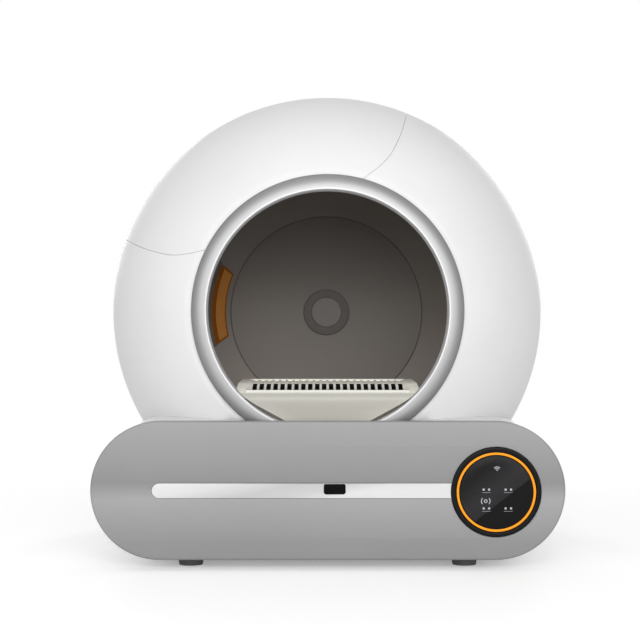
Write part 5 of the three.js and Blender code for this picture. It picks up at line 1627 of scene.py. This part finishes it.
@dataclass(frozen=True)
class Display:
    """The round touch display: black rim, ring of light, glass and a few plain marks."""

    radius: float = DISPLAY_RADIUS
    rim: float = 0.0052
    rim_edge: float = 0.0012
    front: float = -0.25
    back: float = -0.2366
    floor_depth: float = 0.0037
    light: Pair = (0.0439, 0.0466)
    glass: float = 0.0427
    glass_flat: float = 0.03
    edge: float = 0.0004
    fan: Pair = (0.0008, 0.025)
    fan_bars: tuple[Pair, ...] = ((0.0001, 0.0014), (0.0024, 0.0033), (0.0044, 0.0053))
    target: Pair = (-0.0126, -0.0104)
    target_bars: tuple[tuple[Pair, float], ...] = (((0.0046, 0.0056), 42), ((0.0012, 0.0022), 89.5))
    squares: tuple[Pair, ...] = ((-0.0118, 0.0031), (0.014, 0.0031), (-0.0118, -0.019), (0.014, -0.019))
    square_offset: float = 0.0032
    square_half: Pair = (0.0012, 0.0012)
    square_corner: float = 0.0004
    line_drop: float = 0.0034
    line_half: Pair = (0.005, 0.00016)
    line_corner: float = 0.0001
    mark_height: float = 0.0001
    mark_depth: float = 0.0003
    mark_edge: float = 0.00004

    def build(self) -> None:
        """Builds every piece of the display."""
        centre = (BASE_END_X, DISPLAY_Z)
        inner, floor = self.radius - self.rim, self.front + self.floor_depth
        rim = rounded([(inner, floor), (inner, self.front), (self.radius, self.front),
                       (self.radius, self.back)], self.rim_edge, RIM_ROUNDING, closed=False)
        profile = np.concatenate([[(0, floor)], rim, [(0, self.back)]])
        dress(Shape().lathe(profile, centre, TURN_WIDE).piece("display_rim", CRISP), DISPLAY_BLACK,
              "base", "display_black", "display_bezel")
        low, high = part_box("display_light_ring")
        band = rounded([(self.light[0], high.y), (self.light[0], low.y), (self.light[1], low.y),
                        (self.light[1], high.y)], self.edge, SMALL_ROUNDING)
        dress(Shape().lathe(band, centre, TURN_WIDE).piece("display_light", CRISP), LIGHT_AMBER,
              "base", "light_amber", "display_light_ring")
        low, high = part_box("display_glass")
        pane = rounded([(self.glass, high.y), (self.glass, low.y), (self.glass_flat, low.y)],
                       self.edge, SMALL_ROUNDING, closed=False)
        pane = np.concatenate([[(0, high.y)], pane, [(0, low.y)]])
        dress(Shape().lathe(pane, centre, TURN_WIDE).piece("display_pane", CRISP), DISPLAY_GLASS_PAINTED_REFLECTION,
              "base", "display_glass", "display_glass")
        self.marks(low.y)

    def marks(self, face: float) -> None:
        """Builds the plain marks on the glass: a fan, a dot with two arcs, and pairs of squares.

        Args:
            face: depth of the glass's front.
        """
        def sector(place: Pair, radii: Pair, middle: float, half: float) -> Array:
            """Draws a bent bar about a point.

            Args:
                place: the point, measured from the display's centre.
                radii: inner and outer radius.
                middle: angle of the bar's middle in degrees.
                half: half of the angle that it takes.

            Returns:
                The bar's outline.
            """
            point, ends = (BASE_END_X + place[0], DISPLAY_Z + place[1]), (middle - half, middle + half)
            sides = (arc(point, radii[1], *ends, ARC_MARK), arc(point, radii[0], *ends[::-1], ARC_MARK))
            return np.concatenate(sides)

        outlines = [sector(self.fan, radii, 90, 45) for radii in self.fan_bars]
        outlines += [sector(self.target, radii, middle, half)
                     for radii, half in self.target_bars for middle in (0, 180)]
        for x, z in self.squares:
            outlines += [round_box((BASE_END_X + x + side * self.square_offset, DISPLAY_Z + z),
                                   self.square_half, self.square_corner) for side in (-1, 1)]
            outlines.append(round_box((BASE_END_X + x, DISPLAY_Z + z - self.line_drop),
                                      self.line_half, self.line_corner))
        shape = Shape()
        for outline in outlines:
            shape.plate(outline, [], face - self.mark_height, face + self.mark_depth, self.mark_edge,
                        steps=2)
        dress(shape.piece("display_marks"), MARK_PALE, "base", "display_glass")


@dataclass(frozen=True)
class Works:
    """The works inside: each keeps its own mesh and gets a finish, but the rollers get a new mesh."""

    finishes: tuple[tuple[Finish, tuple[str, ...]], ...] = (
        (PLASTIC_DARK, ("chassis_deck", "bearing_frame", "hall_sensor")),
        (NYLON, ("ring_gear", "drive_pinion", "hub_bush")),
        (BOARD_GREEN, ("main_board", "display_board", "sensor_board")),
        (ALUMINIUM, ("load_cell_front_left", "load_cell_front_right", "load_cell_rear_left",
                     "load_cell_rear_right")),
        (ZINC_STEEL, ("motor", "motor_shaft", "motor_bracket", "hub_shaft", "home_magnet",
                      "roller_axle_left", "roller_axle_right", "roller_bracket_left",
                      "roller_bracket_right")),
    )
    roller: Pair = (0.0034, 0.014)
    roller_edge: float = 0.0012

    def build(self) -> None:
        """Gives the works their finishes, and builds the two rollers."""
        for finish, nodes in self.finishes:
            for node in nodes:
                piece = bpy.data.objects[node]
                piece.data.materials.clear()
                piece.data.materials.append(finish.material())
                LOG.info("%s: its own mesh, %s", node, finish.name)
        inner, outer = self.roller
        for side in ("left", "right"):
            low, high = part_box(f"roller_{side}")
            centre = ((low.x + high.x) / 2, (low.z + high.z) / 2)
            profile = rounded([(inner, low.y), (outer, low.y), (outer, high.y), (inner, high.y)],
                              self.roller_edge)
            shape = Shape().lathe(profile, centre, TURN_FOOT)
            dress(shape.piece(f"neck_roller_{side}", CRISP), RUBBER_DARK,
                  f"{side}_roller", "rubber_dark", f"roller_{side}")


@dataclass(frozen=True)
class Studio:
    """The pale floor, the lamps, the white surroundings and the camera."""

    floor_half: float = 6.0
    floor_albedo: float = 0.9
    floor_glow: float = 0.28
    fade: Pair = (0.4, 1.2)
    light: float = 0.4
    camera: Triple = (-0.0092, -2.248, 0.295)
    lens: float = 95.6
    sensor: float = 36
    sight: float = 50
    lamps: tuple[tuple[str, Triple, Triple, float, float], ...] = (
        ("lamp_top", (-0.3, -0.5, 3.2), (0, 0, 0.2), 2.6, 9),
        ("lamp_front", (0.25, -3.4, 1.15), (0, 0, 0.25), 2.0, 55),
        ("lamp_left", (-1.6, -2.8, 0.9), (0, 0, 0.2), 1.6, 20),
        ("lamp_right", (1.7, -2.7, 0.8), (0, 0, 0.2), 1.6, 11),
        ("lamp_rear_left", (-1.0, 2.9, 0.9), (0, 0, 0.3), 1.0, 14),
        ("lamp_rear_right", (1.0, 2.9, 0.9), (0, 0, 0.3), 1.0, 14),
    )

    def build(self) -> None:
        """Builds the studio."""
        self.floor()
        self.lights()
        self.world()
        self.eye()

    @staticmethod
    def seen(tree: bpy.types.NodeTree) -> bpy.types.NodeSocket:
        """Adds a value of 1 for rays from the camera, from shining and from clear surfaces.

        Args:
            tree: the node tree.

        Returns:
            The value's socket.
        """
        path = tree.nodes.new("ShaderNodeLightPath")
        value = path.outputs["Is Camera Ray"]
        for name in ("Is Glossy Ray", "Is Transmission Ray"):
            either = tree.nodes.new("ShaderNodeMath")
            either.operation = "MAXIMUM"
            tree.links.new(value, either.inputs[0])
            tree.links.new(path.outputs[name], either.inputs[1])
            value = either.outputs[0]
        return value

    def paint(self) -> bpy.types.Material:
        """Builds the floor's paint: matt, and to the eye brighter, and plain white far away.

        Returns:
            The material.
        """
        grey = (self.floor_albedo,) * 3
        paint = Finish("floor_paint", grey, 0.9, grain_size=0.004, variation=0.0).material()
        tree = paint.node_tree
        matt = tree.nodes["Principled BSDF"].outputs[0]
        glows = []
        for strength in (self.floor_glow, 1.0):
            glow = tree.nodes.new("ShaderNodeEmission")
            glow.inputs["Strength"].default_value = strength
            glows.append(glow.outputs[0])
        near = tree.nodes.new("ShaderNodeAddShader")
        tree.links.new(matt, near.inputs[0])
        tree.links.new(glows[0], near.inputs[1])
        place = tree.nodes.new("ShaderNodeTexCoord").outputs["Object"]
        reach = tree.nodes.new("ShaderNodeVectorMath")
        reach.operation = "LENGTH"
        tree.links.new(place, reach.inputs[0])
        far = tree.nodes.new("ShaderNodeMapRange")
        far.interpolation_type = "SMOOTHSTEP"
        far.inputs["From Min"].default_value = self.fade[0]
        far.inputs["From Max"].default_value = self.fade[1]
        tree.links.new(reach.outputs["Value"], far.inputs["Value"])
        bright = tree.nodes.new("ShaderNodeMixShader")
        tree.links.new(far.outputs[0], bright.inputs[0])
        tree.links.new(near.outputs[0], bright.inputs[1])
        tree.links.new(glows[1], bright.inputs[2])
        mix = tree.nodes.new("ShaderNodeMixShader")
        tree.links.new(self.seen(tree), mix.inputs[0])
        tree.links.new(matt, mix.inputs[1])
        tree.links.new(bright.outputs[0], mix.inputs[2])
        tree.links.new(mix.outputs[0], tree.nodes["Material Output"].inputs["Surface"])
        return paint

    def floor(self) -> None:
        """Builds the floor, of a pale matt paint."""
        half = self.floor_half
        corners = np.array([(-half, -half, 0), (half, -half, 0), (half, half, 0), (-half, half, 0)])
        mesh = bpy.data.meshes.new("floor")
        mesh.from_pydata(corners.tolist(), [], [(0, 1, 2, 3)])
        floor = bpy.data.objects.new("floor", mesh)
        bpy.context.scene.collection.objects.link(floor)
        mesh.materials.append(self.paint())

    def lights(self) -> None:
        """Builds the soft lamps: name, place, aim, size and power of each are in the field lamps."""
        for name, place, aim, size, power in self.lamps:
            light = bpy.data.lights.new(name, "AREA")
            light.shape = "DISK"
            light.size = size
            light.energy = power
            lamp = bpy.data.objects.new(name, light)
            lamp.location = place
            lamp.rotation_euler = (Vector(aim) - Vector(place)).to_track_quat("-Z", "Y").to_euler()
            bpy.context.scene.collection.objects.link(lamp)

    def world(self) -> None:
        """Builds the surroundings: white to the eye, pale grey to the object."""
        world = bpy.data.worlds.new("surroundings")
        world.use_nodes = True
        tree = world.node_tree
        sky = tree.nodes["Background"]
        sky.inputs["Color"].default_value = (1, 1, 1, 1)
        sky.inputs["Strength"].default_value = self.light
        white = tree.nodes.new("ShaderNodeBackground")
        white.inputs["Color"].default_value = (1, 1, 1, 1)
        white.inputs["Strength"].default_value = 1.0
        mix = tree.nodes.new("ShaderNodeMixShader")
        tree.links.new(self.seen(tree), mix.inputs["Fac"])
        tree.links.new(sky.outputs["Background"], mix.inputs[1])
        tree.links.new(white.outputs["Background"], mix.inputs[2])
        tree.links.new(mix.outputs["Shader"], tree.nodes["World Output"].inputs["Surface"])
        bpy.context.scene.world = world

    def eye(self) -> None:
        """Builds the camera: level, straight along +Y."""
        scene = bpy.context.scene
        lens = bpy.data.cameras.new("camera")
        lens.lens = self.lens
        lens.sensor_width = self.sensor
        lens.clip_end = self.sight
        camera = bpy.data.objects.new("camera", lens)
        camera.location = self.camera
        camera.rotation_euler = (math.pi / 2, 0, 0)
        scene.collection.objects.link(camera)
        scene.camera = camera
        scene.view_settings.view_transform = "Standard"


def main() -> None:
    """Builds the litter box and its studio."""
    logging.basicConfig(level=logging.INFO, format="%(message)s")
    Globe().build()
    Drum().build()
    Step().build()
    Base().build()
    Works().build()
    Studio().build()
    bpy.context.view_layer.update()


if __name__ == "__main__":
    main()
